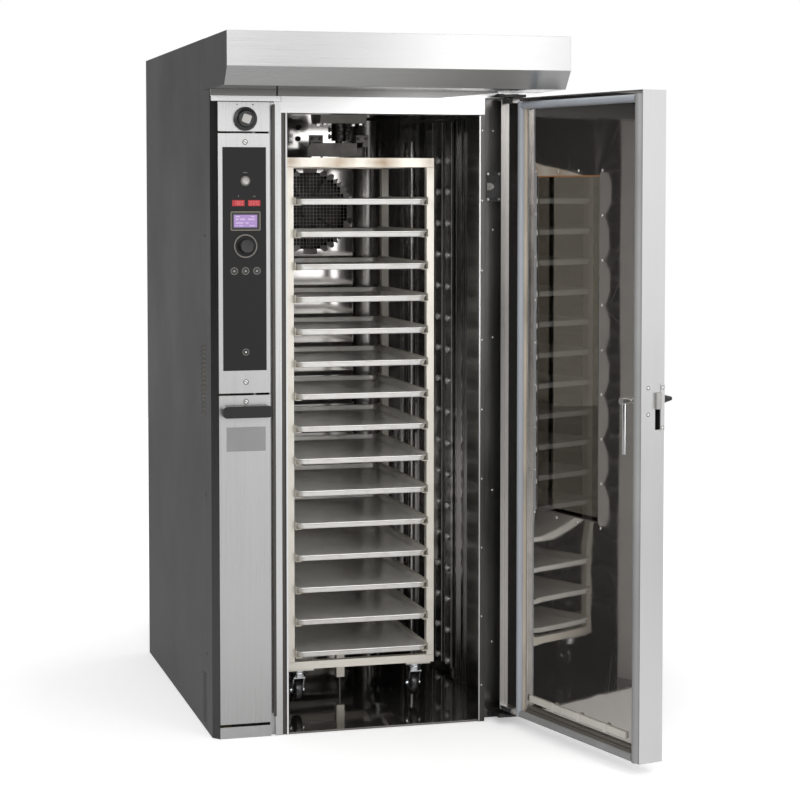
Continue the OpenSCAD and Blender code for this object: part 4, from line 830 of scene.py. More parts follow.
dressed("control_glass", [panel_glass], 0.0006)
displays = dressed("display_set", [ring_metal, led_face, screen_face, frame_metal], 0.0003,
                   pick=display_part)
print("display faces", len(displays.data.polygons))

# %% [markdown]
# ## Numbers on the displays
#
# A seven-segment number is up to seven short bars. The table gives the bars of each
# digit, in the order top, top right, lower right, bottom, lower left, top left, middle.
# They stand half a millimetre off the glass, in front of the red face. The screen shows
# rows of plain bars and has a black border round its frame.

# %% Display numbers and the screen's marks
SEGMENTS = {"0": "1111110", "1": "0110000", "2": "1101101", "5": "1011011", "8": "1111111"}
DIGIT_W, DIGIT_H, DIGIT_STEP, BAR, BAR_GAP = 0.0072, 0.0122, 0.0105, 0.0016, 0.0002
SCREEN_FRONT = GLASS_FACE - 0.0010


def digit_bars(digit, x, z, y):
    w, h, g = DIGIT_W / 2, DIGIT_H / 2, BAR_GAP
    bars = [(-w, h - BAR, w, h), (w - BAR, 0, w, h), (w - BAR, -h, w, 0), (-w, -h, w, BAR - h),
            (-w, -h, BAR - w, 0), (-w, 0, BAR - w, h), (-w, -BAR / 2, w, BAR / 2)]
    return [((x + x0 + g, y - 0.0003, z + z0 + g), (x + x1 - g, y, z + z1 - g))
            for on, (x0, z0, x1, z1) in zip(SEGMENTS[digit], bars) if on == "1"]


block_piece("display_numbers", [
    bar for middle, text in [(-0.450, "180"), (-0.400, "025")] for i, digit in enumerate(text)
    for bar in digit_bars(digit, middle + (i - 1) * DIGIT_STEP, DISPLAY_Z, GLASS_FACE - 0.0006)],
    led_digit, "cabinet", "displays")
block_piece("screen_marks", [
    ((PANEL_LINE + dx, SCREEN_FRONT - 0.0002, SCREEN_Z + dz),
     (PANEL_LINE + dx + w, SCREEN_FRONT, SCREEN_Z + dz + h)) for dz, h, row in [
        (0.012, 0.004, [(-0.031, 0.013), (0.018, 0.011)]),
        (0.003, 0.005, [(-0.031, 0.009), (-0.017, 0.016), (0.008, 0.021)]),
        (-0.008, 0.004, [(-0.031, 0.024), (0.0, 0.010)]),
        (-0.016, 0.003, [(-0.031, 0.006), (-0.02, 0.012), (0.012, 0.017)])] for dx, w in row],
    screen_mark, "cabinet", "displays")
bm = bmesh.new()
bmesh.ops.create_grid(bm, x_segments=1, y_segments=1, size=1.0, matrix=turning(90, "X"))
bmesh.ops.scale(bm, vec=(0.0445, 1, 0.0270), verts=bm.verts)
cut_middle(bm, 0.0068)
thicken(bm, 0.0003)
bmesh.ops.translate(bm, vec=(PANEL_LINE, GLASS_FACE - 0.0030, SCREEN_Z), verts=bm.verts)
finish_piece(bm, "screen_border", [black_plastic], "cabinet", "black_plastic")
print("display numbers and screen marks made")

# %% [markdown]
# ## Buttons, dial and damper knob
#
# Turned forms: the start button is dished, the small buttons are flat with a soft edge,
# the dial is a tapered drum with fine ribs, and the damper knob is a wide skirt with a
# notched rim and a pale rounded square on its face. The ribs are raised by extruding
# every other face of the drum's side.

# %% Buttons
START_Z, MENU_Z, MENU_STEP, SERVICE_Z = 1.757, 1.476, 0.036, 1.222
STEM_DEPTH, CAP_ROOT, CAP_STEPS = 0.019, 0.004, 40


def button(node, z, radius, out, material, dish, dot=None, x=PANEL_LINE):
    """A cap that stands out of the glass, with its stem behind it."""
    bm = bmesh.new()
    at, edge = Vector((x, GLASS_FACE, z)), 0.0008
    add_turned(bm, [(radius, -CAP_ROOT), (radius, out - edge),
                    (radius - edge * 0.3, out - edge * 0.3), (radius - edge, out),
                    (radius * 0.7, out - dish * 0.5), (radius * 0.35, out - dish),
                    (0, out - dish)], at, "-y", CAP_STEPS)
    add_turned(bm, [(0, -STEM_DEPTH), (radius * 0.6, -STEM_DEPTH), (radius * 0.6, -CAP_ROOT),
                    (radius, -CAP_ROOT)], at, "-y", CAP_STEPS)
    bmesh.ops.remove_doubles(bm, verts=bm.verts, dist=0.00001)
    if dot:
        for face in bm.faces:
            off = face.calc_center_median() - at
            if off.y < -out * 0.5 and off.xz.length < radius * 0.3:
                face.material_index = 1
    finish_piece(bm, node + "_cap", [material, dot] if dot else [material], body_of_node[node],
                 slot_of_node[node], [node])


button("start_button", START_Z, 0.011, 0.006, start_metal, 0.0016)
for side, step in [("left", -1), ("middle", 0), ("right", 1)]:
    button("menu_button_" + side, MENU_Z, 0.009, 0.002, black_plastic, 0.0006, icon_grey,
           PANEL_LINE + step * MENU_STEP)
button("service_button", SERVICE_Z, 0.008, 0.002, black_plastic, 0.0005, white_face)
print("buttons made")

# %% Dial and damper knob
DIAL_Z, RIB_LIFT = 1.554, 0.0005
DAMPER_Z, DAMPER_FACE, NOTCH_DEPTH = 1.950, 0.0262, 0.0012
CAP_HALF, CAP_THICK, CAP_TURN = 0.0135, 0.0028, 20


def side_faces(bm, at, area, tilt, beyond=0.0):
    """The large faces round a turned form's side, in order about its axis."""
    def arm(face):
        return (face.calc_center_median() - at).xz
    found = [f for f in bm.faces if f.calc_area() > area and abs(f.normal.y) < tilt
             and arm(f).length > beyond]
    return sorted(found, key=lambda f: math.atan2(arm(f).y, arm(f).x))


dial_at = Vector((PANEL_LINE, GLASS_FACE, DIAL_Z))
bm = bmesh.new()
add_turned(bm, [(0.0225, 0.0004), (0.0228, 0.002), (0.0215, 0.004), (0.0212, 0.027),
                (0.0200, 0.0294), (0.0186, 0.0300), (0.0175, 0.0296), (0, 0.0290)],
           dial_at, "-y", 72)
add_turned(bm, [(0, -0.0115), (0.004, -0.0115), (0.004, 0.0004), (0.0225, 0.0004)],
           dial_at, "-y", 72)
bmesh.ops.remove_doubles(bm, verts=bm.verts, dist=0.00001)
every_other = side_faces(bm, dial_at, 0.00003, 0.2)[::2]
for face in bmesh.ops.extrude_discrete_faces(bm, faces=every_other)["faces"]:
    bmesh.ops.translate(bm, vec=face.normal * RIB_LIFT, verts=face.verts)
finish_piece(bm, "encoder_knob_dressed", [black_plastic], "encoder", "black_plastic",
             ["encoder_knob"], crease=30)

damper_at = Vector((PANEL_LINE, FRONT, DAMPER_Z))
damper = bmesh.new()
add_turned(damper, [(0, 0.029), (0.005, 0.029), (0.005, -0.001), (0.005, -0.0004)],
           damper_at, "y", 40)
add_turned(damper, [(0, 0.0004), (0.0368, 0.0004), (0.0370, 0.002), (0.0370, 0.009),
                    (0.0358, 0.0106), (0.0290, 0.0118), (0.0262, 0.0140), (0.0254, 0.0245),
                    (0.0240, DAMPER_FACE), (0, 0.0264)], damper_at, "-y", 60)
bmesh.ops.inset_individual(damper, faces=side_faces(damper, damper_at, 0.00002, 0.3, 0.0365)[::5],
                           thickness=0.0006, depth=-NOTCH_DEPTH)
cap = bmesh.new()
bmesh.ops.create_grid(cap, x_segments=1, y_segments=1, size=CAP_HALF,
                      matrix=turning(CAP_TURN, "Y") @ turning(90, "X"))
round_corners(cap, 0.0050, 5)
thicken(cap, CAP_THICK)
round_edges(cap, 0.0007)
bmesh.ops.translate(cap, vec=damper_at - Vector((0, DAMPER_FACE, 0)), verts=cap.verts)
for face in cap.faces:
    face.material_index = 1
cap_mesh = bpy.data.meshes.new("damper_cap")
cap.to_mesh(cap_mesh)
cap.free()
damper.from_mesh(cap_mesh)
finish_piece(damper, "damper_knob_dressed", [black_plastic, knob_grey], "damper_control",
             "black_plastic", ["damper_knob"], crease=34)
print("dial and damper knob made")

# %% [markdown]
# ## The cavity
#
# Walls, ceiling, rear wall and floor are mirror sheet. The two bolted strips and the air
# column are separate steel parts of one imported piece, so faces take their finish from
# their place. The bolts get domed heads with a washer, which is what the eye picks up in
# the long paired rows, and the strips get pale edges.

# %% Cavity sheets
STRIP_FACE, STRIP_LOW, STRIP_TOP = 0.4331, 0.034, 1.968
STRIP_EDGES = (0.1032, 0.2188, 0.2222, 0.3378)
BOLT_ROWS, BOLT_LOW, BOLT_STEP, BOLTS = (0.161, 0.280), 0.048, 0.1116, 17
COLUMN_END, STUD_FACE, STUD_FROM, STUD_TO = 0.30, 0.4375, 0.10, 0.345
WALL_FACE, MOUNT_FACE = 0.4381, 0.4322
for node, material, width in [
        ("cavity_liner", mirror_cavity, 0), ("cavity_rear_wall", mirror_cavity, 0.0008),
        ("floor_plate", mirror_floor, 0.0008)]:
    dressed(node, [material], width)


def duct_part(centre, normal):
    if centre.x < COLUMN_END:
        return 1
    slanted = max(abs(normal.x), abs(normal.y), abs(normal.z)) < 0.97
    return 2 if slanted or (centre.x < STUD_FACE and STUD_FROM < centre.y < STUD_TO) else 0


dressed("cavity_air_ducts", [strip_sheet, column_metal, bright_bolt], 0.0012, pick=duct_part)
bm = bmesh.new()
washer = [(0.0125, 0), (0.0125, 0.0012), (0.0092, 0.0014)]
for row in BOLT_ROWS:
    for i in range(BOLTS):
        add_turned(bm, washer + dome(0.0088, 0.0062)[1:],
                   Vector((STRIP_FACE, row, BOLT_LOW + BOLT_STEP * i)), "-x", 18)
strip_bolts = finish_piece(bm, "strip_bolt_heads", [stud_metal], "cabinet", "mirror_sheet",
                           crease=50)
block_piece("strip_edges", [
    ((STRIP_FACE - 0.0009, edge - 0.0012, STRIP_LOW),
     (STRIP_FACE + 0.0001, edge + 0.0012, STRIP_TOP)) for edge in STRIP_EDGES],
    stud_metal, "cabinet", "mirror_sheet")
bm = bmesh.new()
for at in [(-0.044, MOUNT_FACE, 1.913), (-0.044, MOUNT_FACE, 1.953), (-0.060, WALL_FACE, 1.80),
           (-0.04, WALL_FACE, 0.12)] + [(x, WALL_FACE, z) for x in (0.30, -0.38)
                                        for z in (1.90, 1.45, 1.0, 0.55, 0.12)]:
    add_turned(bm, dome(0.0095, 0.0065), Vector(at), "-y", 18)
finish_piece(bm, "rear_wall_bolts", [dark_bolt], "cabinet", "mirror_sheet", crease=50)
print("cavity dressed, bolts", len(strip_bolts.data.polygons))

# %% [markdown]
# ## Air system and steam
#
# The fan guard is a round plate pierced with hundreds of small square holes. It starts as
# a grid: cells outside the circle go, the cells of the pierced field are inset and their
# middles are deleted, and the sheet then gets its thickness. Behind it the fan wheel and
# heater rings only glint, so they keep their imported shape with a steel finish.

# %% Air system
for node, material, width in [
        ("fan_motor", machine_grey, 0.002), ("heater_elements", heater_metal, 0),
        ("steam_pipe", bolt_metal, 0.001), ("fan_impeller", yoke_metal, 0.0006),
        ("exhaust_spigot", column_metal, 0.0004), ("damper_flap", guard_metal, 0.0004),
        ("rack_gearmotor", machine_grey, 0.003), ("insulation", wool, 0.006)]:
    dressed(node, [material], width)

POCKET_EDGE, POCKET_FACE, POCKET_LOW, POCKET_TOP = -0.270, -0.575, 1.00, 1.16


def wool_part(centre, normal):
    """The pocket for the latch is made black: painted shade in the deep slot."""
    at = shut @ centre
    return int(at.x < POCKET_EDGE and at.y < POCKET_FACE and POCKET_LOW < at.z < POCKET_TOP)


dressed("door_insulation", [wool, black_plastic], 0, pick=wool_part)
GUARD_LOW, GUARD_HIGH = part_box("fan_guard")
GUARD_R = (GUARD_HIGH[0] - GUARD_LOW[0]) / 2 - 0.0003
GUARD_THICK, HOLE_PITCH, HOLES_R = 0.0012, 0.0125, GUARD_R - 0.013
guard_middle = (Vector(GUARD_LOW) + Vector(GUARD_HIGH)) / 2
cells = math.ceil(GUARD_R / HOLE_PITCH) * 2
bm = bmesh.new()
bmesh.ops.create_grid(bm, x_segments=cells, y_segments=cells, size=cells * HOLE_PITCH / 2,
                      matrix=turning(90, "X"))
bmesh.ops.delete(bm, context="FACES", geom=[
    f for f in bm.faces if f.calc_center_median().length > GUARD_R - 0.004])
for vert in bm.verts:
    if vert.is_boundary:
        vert.co = vert.co.normalized() * GUARD_R
holes = [f for f in bm.faces if f.calc_center_median().length < HOLES_R - 0.006
         and all(not v.is_boundary for v in f.verts)]
bmesh.ops.inset_individual(bm, faces=holes, thickness=0.0013)
bmesh.ops.delete(bm, geom=holes, context="FACES_ONLY")
bmesh.ops.recalc_face_normals(bm, faces=bm.faces)
bmesh.ops.solidify(bm, geom=list(bm.faces), thickness=GUARD_THICK)
low = min(v.co.y for v in bm.verts)
bmesh.ops.translate(bm, vec=guard_middle - Vector((0, low + GUARD_THICK / 2, 0)), verts=bm.verts)
for face in bm.faces:
    pierced = (face.calc_center_median() - guard_middle).length < HOLES_R + 0.004
    face.material_index = 1 if pierced else 0
guard = finish_piece(bm, "fan_guard_pierced", [mirror_cavity, guard_metal], "cabinet",
                     slot_of_node["fan_guard"], ["fan_guard"], crease=30)
dressed("rear_connections", [brass, black_plastic], 0.0006, pick=lambda c, n: int(c.x < 0))
print("guard holes", len(holes), "faces", len(guard.data.polygons))

# %% [markdown]
# ## Lamp
#
# An octagonal glass held by four screws covers the lamp in the hinge jamb. The housing is
# near black, which is painted shade inside the recess, and the bulb's small glow is a
# painted glint on its glass. A pale rim stands for the glass's cut edge.

# %% Lamp
LAMP_X, LAMP_FACE, LAMP_Z = 0.3985, -0.4790, 1.740
LAMP_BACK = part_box("oven_lamp")[1][1]
RIM_X, RIM_Z, RIM_CUT = 0.0285, 0.0500, 0.0120


def lamp_part(centre, normal):
    if centre.y < -0.4755:
        return 1
    from_bulb = (centre.xz - Vector((LAMP_X, LAMP_Z))).length
    return 2 if from_bulb < 0.0125 and centre.y < LAMP_BACK - 0.0045 else 0


dressed("oven_lamp", [lamp_body_shade, bolt_metal, bulb_glint], 0.0005, pick=lamp_part)
dressed("lamp_cover", [lamp_pane], 0.0009)
bm = bmesh.new()
add_outline(bm, [(LAMP_X + x, LAMP_FACE, LAMP_Z + z) for x, z in [
    (RIM_CUT - RIM_X, -RIM_Z), (RIM_X - RIM_CUT, -RIM_Z), (RIM_X, RIM_CUT - RIM_Z),
    (RIM_X, RIM_Z - RIM_CUT), (RIM_X - RIM_CUT, RIM_Z), (RIM_CUT - RIM_X, RIM_Z),
    (-RIM_X, RIM_Z - RIM_CUT), (-RIM_X, RIM_CUT - RIM_Z)]])
cut_middle(bm, 0.0030)
thicken(bm, 0.0006)
finish_piece(bm, "lamp_cover_rim", [glass_edge], "cabinet", "bright_steel")
screw_row("lamp_cover_screws", [
    (LAMP_X + x * 0.0185, LAMP_FACE, LAMP_Z + z * 0.041) for x in (-1, 1) for z in (-1, 1)],
    "-y", (0.0044, 0.0022), bright_bolt, "cabinet", "bright_steel")
print("lamp dressed")

# %% [markdown]
# ## Drive and yoke
#
# Under the ceiling hang the bearing plate, the coupling with its cross bolts and the
# dark yoke whose prongs carry the rack. The bolts get chamfered hexagon heads.

# %% Drive and yoke
COUPLING_R = 0.031
dressed("bearing_plate", [column_metal], 0.0016)
dressed("drive_shaft", [yoke_metal], 0.0012)
dressed("carrier_yoke", [yoke_metal], 0.0018)
hexagon_bolts("coupling_bolts", [
    place for z in (1.910, 1.934) for place in [
        ("x", (COUPLING_R, 0, z)), ("-x", (-COUPLING_R, 0, z)),
        ("y", (0, COUPLING_R, z)), ("-y", (0, -COUPLING_R, z))]],
    (0.016, 0.005), dark_bolt, "rack_drive", "bright_steel")
hexagon_bolts("bearing_plate_bolts", [
    ("-z", (x, y, 1.953)) for y in (-0.050, 0.050) for x in (-0.062, 0.062)],
    (0.017, 0.006), bolt_metal, "cabinet", "grey_steel")
print("drive dressed")

# %% [markdown]
# ## The rack
#
# Square tubes with soft corners. The weld beads where the posts meet the bars are short
# wobbly ridges; here they are small flattened domes laid close together along each
# joint.

# %% Rack frame and runners
POST_X, POST_Y = 0.2375, 0.3002
BEADS, BEAD_STEP = 9, 0.0026
dressed("rack_frame", [rack_metal, yoke_metal], 0.0022, segments=3,
        pick=lambda centre, normal: int(centre.z > RACK_TOP + 0.002))
dressed("rack_runners", [rack_metal], 0.0004)
random.seed(11)
bm = bmesh.new()
for side_x in (-1, 1):
    for side_y in (-1, 1):
        for z in (RACK_TOP - 0.030, RACK_BOTTOM + 0.025):
            for i in range(BEADS):
                at = Vector((side_x * POST_X - 0.0105 + i * BEAD_STEP, side_y * POST_Y,
                             z + random.uniform(-0.0004, 0.0004)))
                made = bmesh.ops.create_icosphere(bm, subdivisions=1, radius=0.0021)["verts"]
                bmesh.ops.scale(bm, vec=(1, 0.45, 0.9), verts=made)
                bmesh.ops.translate(bm, vec=at, verts=made)
finish_piece(bm, "rack_weld_beads", [rack_metal], "rack", "rack_tube", crease=70)
hexagon_bolts("stirrup_bolts", [
    ("-y", (x + side * 0.014, -0.016, 1.903)) for x in (-0.080, 0.080) for side in (-1, 1)],
    (0.0105, 0.004), dark_bolt, "rack", "rack_tube")
print("rack dressed")

# %% [markdown]
# ## Trays
#
# A baking tray is pressed from one sheet: a flat base with round corners, sloping walls
# and a rim rolled over a wire. It starts from a rectangle whose corners are bevelled.
# Its edge is then extruded upwards again and again while it grows, following the wall,
# the rim and the roll, and the sheet gets its thickness at the end.

# %% Trays
TRAY_HALF_X, TRAY_HALF_Y, TRAY_FOOT = 0.223, 0.325, 0.0085
TRAY_LOW, TRAY_PITCH, TRAY_COUNT = 0.2001, 0.1058, 15
TRAY_WALL = [(0.0078, 0.0006), (0.0068, 0.0024), (0.0042, 0.0152), (0.0036, 0.0172),
             (0.0026, 0.0180), (0.0012, 0.0180), (0.0003, 0.0170), (0.0, 0.0155),
             (0.0004, 0.0141), (0.0016, 0.0134)]
bm = bmesh.new()
bmesh.ops.create_grid(bm, x_segments=1, y_segments=1, size=1.0)
bmesh.ops.scale(bm, vec=(TRAY_HALF_X - TRAY_FOOT, TRAY_HALF_Y - TRAY_FOOT, 1), verts=bm.verts)
round_corners(bm, 0.024, 8)
edge = [e for e in bm.edges if e.is_boundary]
reach, level = TRAY_FOOT, 0.0
for inset, height in TRAY_WALL:
    made = bmesh.ops.extrude_edge_only(bm, edges=edge)["geom"]
    verts = verts_of(made)
    edge = [item for item in made if isinstance(item, bmesh.types.BMEdge)]
    bmesh.ops.scale(bm, verts=verts, vec=((TRAY_HALF_X - inset) / (TRAY_HALF_X - reach),
                                          (TRAY_HALF_Y - inset) / (TRAY_HALF_Y - reach), 1))
    bmesh.ops.translate(bm, vec=(0, 0, height - level), verts=verts)
    reach, level = inset, height
bmesh.ops.recalc_face_normals(bm, faces=bm.faces)
if sum(f.normal.z for f in bm.faces if f.calc_area() > 0.1) < 0:
    bmesh.ops.reverse_faces(bm, faces=bm.faces)
bmesh.ops.solidify(bm, geom=list(bm.faces), thickness=0.0010)
low = min(v.co.z for v in bm.verts)
bmesh.ops.translate(bm, vec=(0, 0, TRAY_LOW - low), verts=bm.verts)
first = list(bm.verts) + list(bm.edges) + list(bm.faces)
for i in range(1, TRAY_COUNT):
    copied = bmesh.ops.duplicate(bm, geom=first)["geom"]
    bmesh.ops.translate(bm, vec=(0, 0, TRAY_PITCH * i), verts=verts_of(copied))
trays = finish_piece(bm, "baking_trays", [tray_metal], "rack", "tray_sheet", ["trays"],
                     crease=50)
print("trays", len(trays.data.polygons), "lowest", round(trays.bound_box[0][2], 4))

# %% [markdown]
# ## Castors
#
# The forks are pressed zinc-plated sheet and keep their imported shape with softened
# edges; a turned race ring sits on each. The wheels are glossy black with a rounded
# tread, a dished side and a ring of bright rivets. The outline of a wheel gives one
# side, which is then mirrored.

# %% Castors
WHEEL_R, WHEEL_HALF, AXLE_Z, TRAIL = 0.040, 0.014, 0.070, 0.022
RACE_Z, RIVETS, RIVET_R = 0.1285, 5, 0.0215
near = [(radius, WHEEL_HALF + out) for radius, out in [
    (0.0051, 0.0015), (0.0100, 0.0015), (0.0106, 0.0008), (0.0106, -0.0010),
    (0.0150, -0.0036), (0.0270, -0.0036), (0.0310, -0.0012), (0.0350, -0.0006),
    (0.0378, -0.0028), (0.0394, -0.0075)]]
wheel_outline = near + [(WHEEL_R, 0)] + [(r, -out) for r, out in reversed(near)] + near[:1]
for end_name, y in [("front", -0.238), ("rear", 0.238)]:
    for side_name, x in [("left", -0.200), ("right", 0.200)]:
        corner = end_name + "_" + side_name
        dressed("castor_fork_" + corner, [zinc], 0.0009)
        bm = bmesh.new()
        add_turned(bm, [(0.0262, 0), (0.0285, 0.0015), (0.0290, 0.0045), (0.0280, 0.0075),
                        (0.0262, 0.0088)], Vector((x, y, RACE_Z)), "z", 36)
        finish_piece(bm, "castor_race_" + corner, [zinc], "fork_" + corner, "bright_steel",
                     crease=30)
        bm = bmesh.new()
        at = Vector((x, y + TRAIL, AXLE_Z))
        add_turned(bm, wheel_outline, at, "x", 48)
        for i in range(RIVETS):
            turn = math.radians(360 / RIVETS * i + 20)
            for side, axis in [(1, "x"), (-1, "-x")]:
                spot = Vector((side * (WHEEL_HALF - 0.0037), math.cos(turn) * RIVET_R,
                               math.sin(turn) * RIVET_R))
                add_turned(bm, dome(0.0030, 0.0016), at + spot, axis, 12, index=1)
        finish_piece(bm, "castor_wheel_dressed_" + corner, [wheel_black, bolt_metal],
                     "wheel_" + corner, "wheel_plastic", ["castor_wheel_" + corner], crease=42)
print("castors dressed")

# %% [markdown]
# ## The door
#
# The leaf is a brushed steel tray. Its inner face is mirror sheet, screwed round the
# window. The window has a thin line of sealant round the glass, which shows in the
# photograph as a warm brown line at its top and is dark elsewhere.

# %% Door sheets and glass
DOOR_EDGE = -0.309
SEALANT = 0.0035


def leaf_part(centre, normal):
    """The narrow sides of the leaf catch more of the room's light."""
    return 1 if abs((shut.to_3x3() @ normal).x) > 0.6 else 0


dressed("door_leaf", [steel_door, steel_edge], 0.0008, pick=leaf_part)
dressed("door_liner", [mirror_door], 0.0006)
dressed("door_glass", [window_pane], 0.0008)

left, right = WINDOW_LOW.x, WINDOW_HIGH.x
bottom, top = WINDOW_LOW.z, WINDOW_HIGH.z
bm = bmesh.new()
for x0, z0, x1, z1 in [
        (left, bottom, right, bottom + SEALANT), (left, top - SEALANT, right, top),
        (left, bottom + SEALANT, left + SEALANT, top - SEALANT),
        (right - SEALANT, bottom + SEALANT, right, top - SEALANT)]:
    add_block(bm, (x0, DOOR_SKIN - 0.0020, z0), (x1, DOOR_SKIN - 0.0004, z1), 0.0004)
for face in bm.faces:
    face.material_index = 0 if face.calc_center_median().z > top - SEALANT * 1.1 else 1
finish_piece(bm, "window_sealant", [copper_tint, dark_strip], "door", "seal", turn=opened)

places = [(x, DOOR_SKIN, bottom - WINDOW_SCREW_OUT + i * WINDOW_SCREW_STEP) for i in range(9)
          for x in (left - WINDOW_SCREW_OUT, right + WINDOW_SCREW_OUT)]
places += [(left + i * (right - left) / 3, DOOR_SKIN, z) for i in (1, 2)
           for z in (bottom - WINDOW_SCREW_OUT, top + WINDOW_SCREW_OUT)]
screw_row("window_screws", places, "y", (0.0048, 0.0026), bolt_metal, "door", "bright_steel",
          turn=opened)
screw_row("leaf_edge_screws", [(DOOR_EDGE, -0.561, z) for z in (1.150, 1.072)], "-x",
          (0.0045, 0.0020), bright_bolt, "door", "bright_steel", turn=opened, ring=0.0018)
screw_row("latch_plate_screws", [
    (DOOR_EDGE - 0.002, OUTER_SKIN + 0.007, z) for z in (1.150, 1.032)], "-x",
    (0.0042, 0.0018), bright_bolt, "door", "bright_steel", turn=opened, ring=0.0014)
print("door dressed")

# %% [markdown]
# ## Door seal
#
# Round the door runs a hollow silicone bead. Inside it lies a pale line of sealant, and
# inside that a steel strip clips it to the skin. Each is an outline, given from the outer
# edge inwards, that is extruded along an edge of the door. The top edge has the bead
# alone. A low strip with three straps lies over the bottom run.

# %% Door seal
BEAD = [(0, 0), (0, 0.018), (0.001, 0.024), (0.004, 0.0283), (0.008, 0.0298), (0.014, 0.0298),
        (0.018, 0.0283), (0.021, 0.024), (0.022, 0.018), (0.022, 0)]
CREAM_LINE = [(0.0223, 0), (0.0223, 0.0155), (0.0235, 0.0165), (0.029, 0.016),
              (0.030, 0.015), (0.030, 0)]
CLIP = [(0.0303, 0), (0.0303, 0.009), (0.0312, 0.010), (0.039, 0.0096), (0.0398, 0.0088),
        (0.0398, 0)]
SEAL_LOW, SEAL_TOP, SEAL_LEFT, SEAL_RIGHT = 0.042, 2.008, -0.307, 0.349
BEAD_W, SEAL_W, STRIP_UP = 0.0223, 0.040, 0.014
RUBBER, CREAM, STEEL, FLANK, STRIP, GROOVE = range(6)


def seal_run(bm, section, start, along, across, length, index=RUBBER):
    """Extrudes an outline along the door's edge, standing out of the skin along +Y."""
    face = add_outline(bm, [Vector(start) + Vector(across) * u + Vector((0, 1, 0)) * v
                            for u, v in section])
    near_end = list(face.verts)
    far_end = verts_of(bmesh.ops.extrude_face_region(bm, geom=[face])["geom"])
    bmesh.ops.translate(bm, vec=Vector(along) * length, verts=far_end)
    for part in {f for v in near_end + far_end for f in v.link_faces}:
        part.material_index = index


bm = bmesh.new()
inner_low, inner_left = SEAL_LOW + SEAL_W, SEAL_LEFT + SEAL_W + 0.0003
inner_length = SEAL_RIGHT - SEAL_LEFT - 2 * SEAL_W
for x, across in [(SEAL_LEFT, (1, 0, 0)), (SEAL_RIGHT, (-1, 0, 0))]:
    seal_run(bm, BEAD, (x, DOOR_SKIN, SEAL_LOW), (0, 0, 1), across, SEAL_TOP - SEAL_LOW)
    for section, index in [(CREAM_LINE, CREAM), (CLIP, STEEL)]:
        seal_run(bm, section, (x, DOOR_SKIN, SEAL_LOW + BEAD_W), (0, 0, 1), across,
                 SEAL_TOP - SEAL_LOW - 2 * BEAD_W, index)
for z, across in [(SEAL_LOW, (0, 0, 1)), (SEAL_TOP - 0.001, (0, 0, -1))]:
    seal_run(bm, BEAD, (SEAL_LEFT + BEAD_W, DOOR_SKIN, z), (1, 0, 0), across,
             SEAL_RIGHT - SEAL_LEFT - 2 * BEAD_W)
for section, index in [(CREAM_LINE, CREAM), (CLIP, STEEL)]:
    seal_run(bm, section, (inner_left, DOOR_SKIN, SEAL_LOW), (1, 0, 0), (0, 0, 1),
             inner_length - 0.0006, index)
strip_low = inner_low + STRIP_UP
add_block(bm, (SEAL_LEFT + 0.0803, DOOR_SKIN, strip_low),
          (SEAL_RIGHT - SEAL_W - 0.0103, DOOR_SKIN + 0.008, strip_low + 0.020),
          0.0015, 2, STEEL)
for i in (1, 2, 3):
    x = inner_left + inner_length * i / 4
    add_block(bm, (x - 0.008, DOOR_SKIN + 0.008, strip_low - 0.002),
              (x + 0.008, DOOR_SKIN + 0.012, strip_low + 0.024), 0.001, 2, STEEL)
bmesh.ops.recalc_face_normals(bm, faces=bm.faces)
for face in bm.faces:
    centre, kind = face.calc_center_median(), face.material_index
    on_flank = (centre.x < SEAL_LEFT + BEAD_W + 0.001 or centre.z < SEAL_LOW + BEAD_W + 0.001)
    if kind == RUBBER and on_flank:
        face.material_index = FLANK
    elif kind == STEEL and inner_low < centre.z < inner_low + 0.05:
        face.material_index = STRIP
    elif kind in (CREAM, STEEL) and centre.z < inner_low + 0.001:
        face.material_index = GROOVE
finish_piece(bm, "door_seal", [seal_rubber, seal_cream, bolt_metal, seal_flank, seal_strip,
                               seal_groove], "door", "seal", ["door_gasket"], crease=40,
             turn=opened)
block_piece("seal_edge_strip", [((SEAL_LEFT - 0.0012, DOOR_SKIN, SEAL_LOW),
                                 (SEAL_LEFT - 0.0002, DOOR_SKIN + 0.011, SEAL_TOP - 0.004))],
            seal_strip, "door", "seal", 0.0003, turn=opened)
print("door seal made")

# %% [markdown]
# ## Latch, levers and hinges
#
# The inner lever is a round bar on a hub, with a domed end. The outer handle is a black
# lacquered cone with its lever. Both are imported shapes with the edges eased.

# %% Latch, levers and hinges
dressed("latch_tongue", [bolt_metal], 0.0012)
dressed("outer_handle", [black_lacquer], 0.0012)
dressed("inner_release", [chrome], 0.0014, segments=3)
dressed("hinge_brackets", [hinge_metal], 0.0014)
print("latch and hinges dressed")

# %% [markdown]
# ## Louvres
#
# Each slot in the side panel is a pressed louvre: a narrow lip of sheet pushed out over
# the slot. The lip is a thin rounded bar, so that it throws a line of shade.

# %% Louvres
LOUVRE_STEP, LIP_UP, LIP_DOWN = 0.014, 0.0068, 0.0044
LIP_OUT, LIP_IN, LIP_FRONT, LIP_REAR = -0.5368, -0.5352, -0.392, -0.333
block_piece("louvre_lips", [
    ((LIP_OUT, LIP_FRONT, first + i * LOUVRE_STEP + LIP_DOWN),
     (LIP_IN, LIP_REAR, first + i * LOUVRE_STEP + LIP_UP))
    for first, count in [(1.016, 16), (0.020, 12)] for i in range(count)],
    side_paint, "cabinet", "dark_panel", 0.0005, crease=50)
print("louvres made")

# %% [markdown]
# ## Marks on the panels
#
# Small plain marks stand where the real panels have tiny symbols: short bars and dots,
# with no lettering.

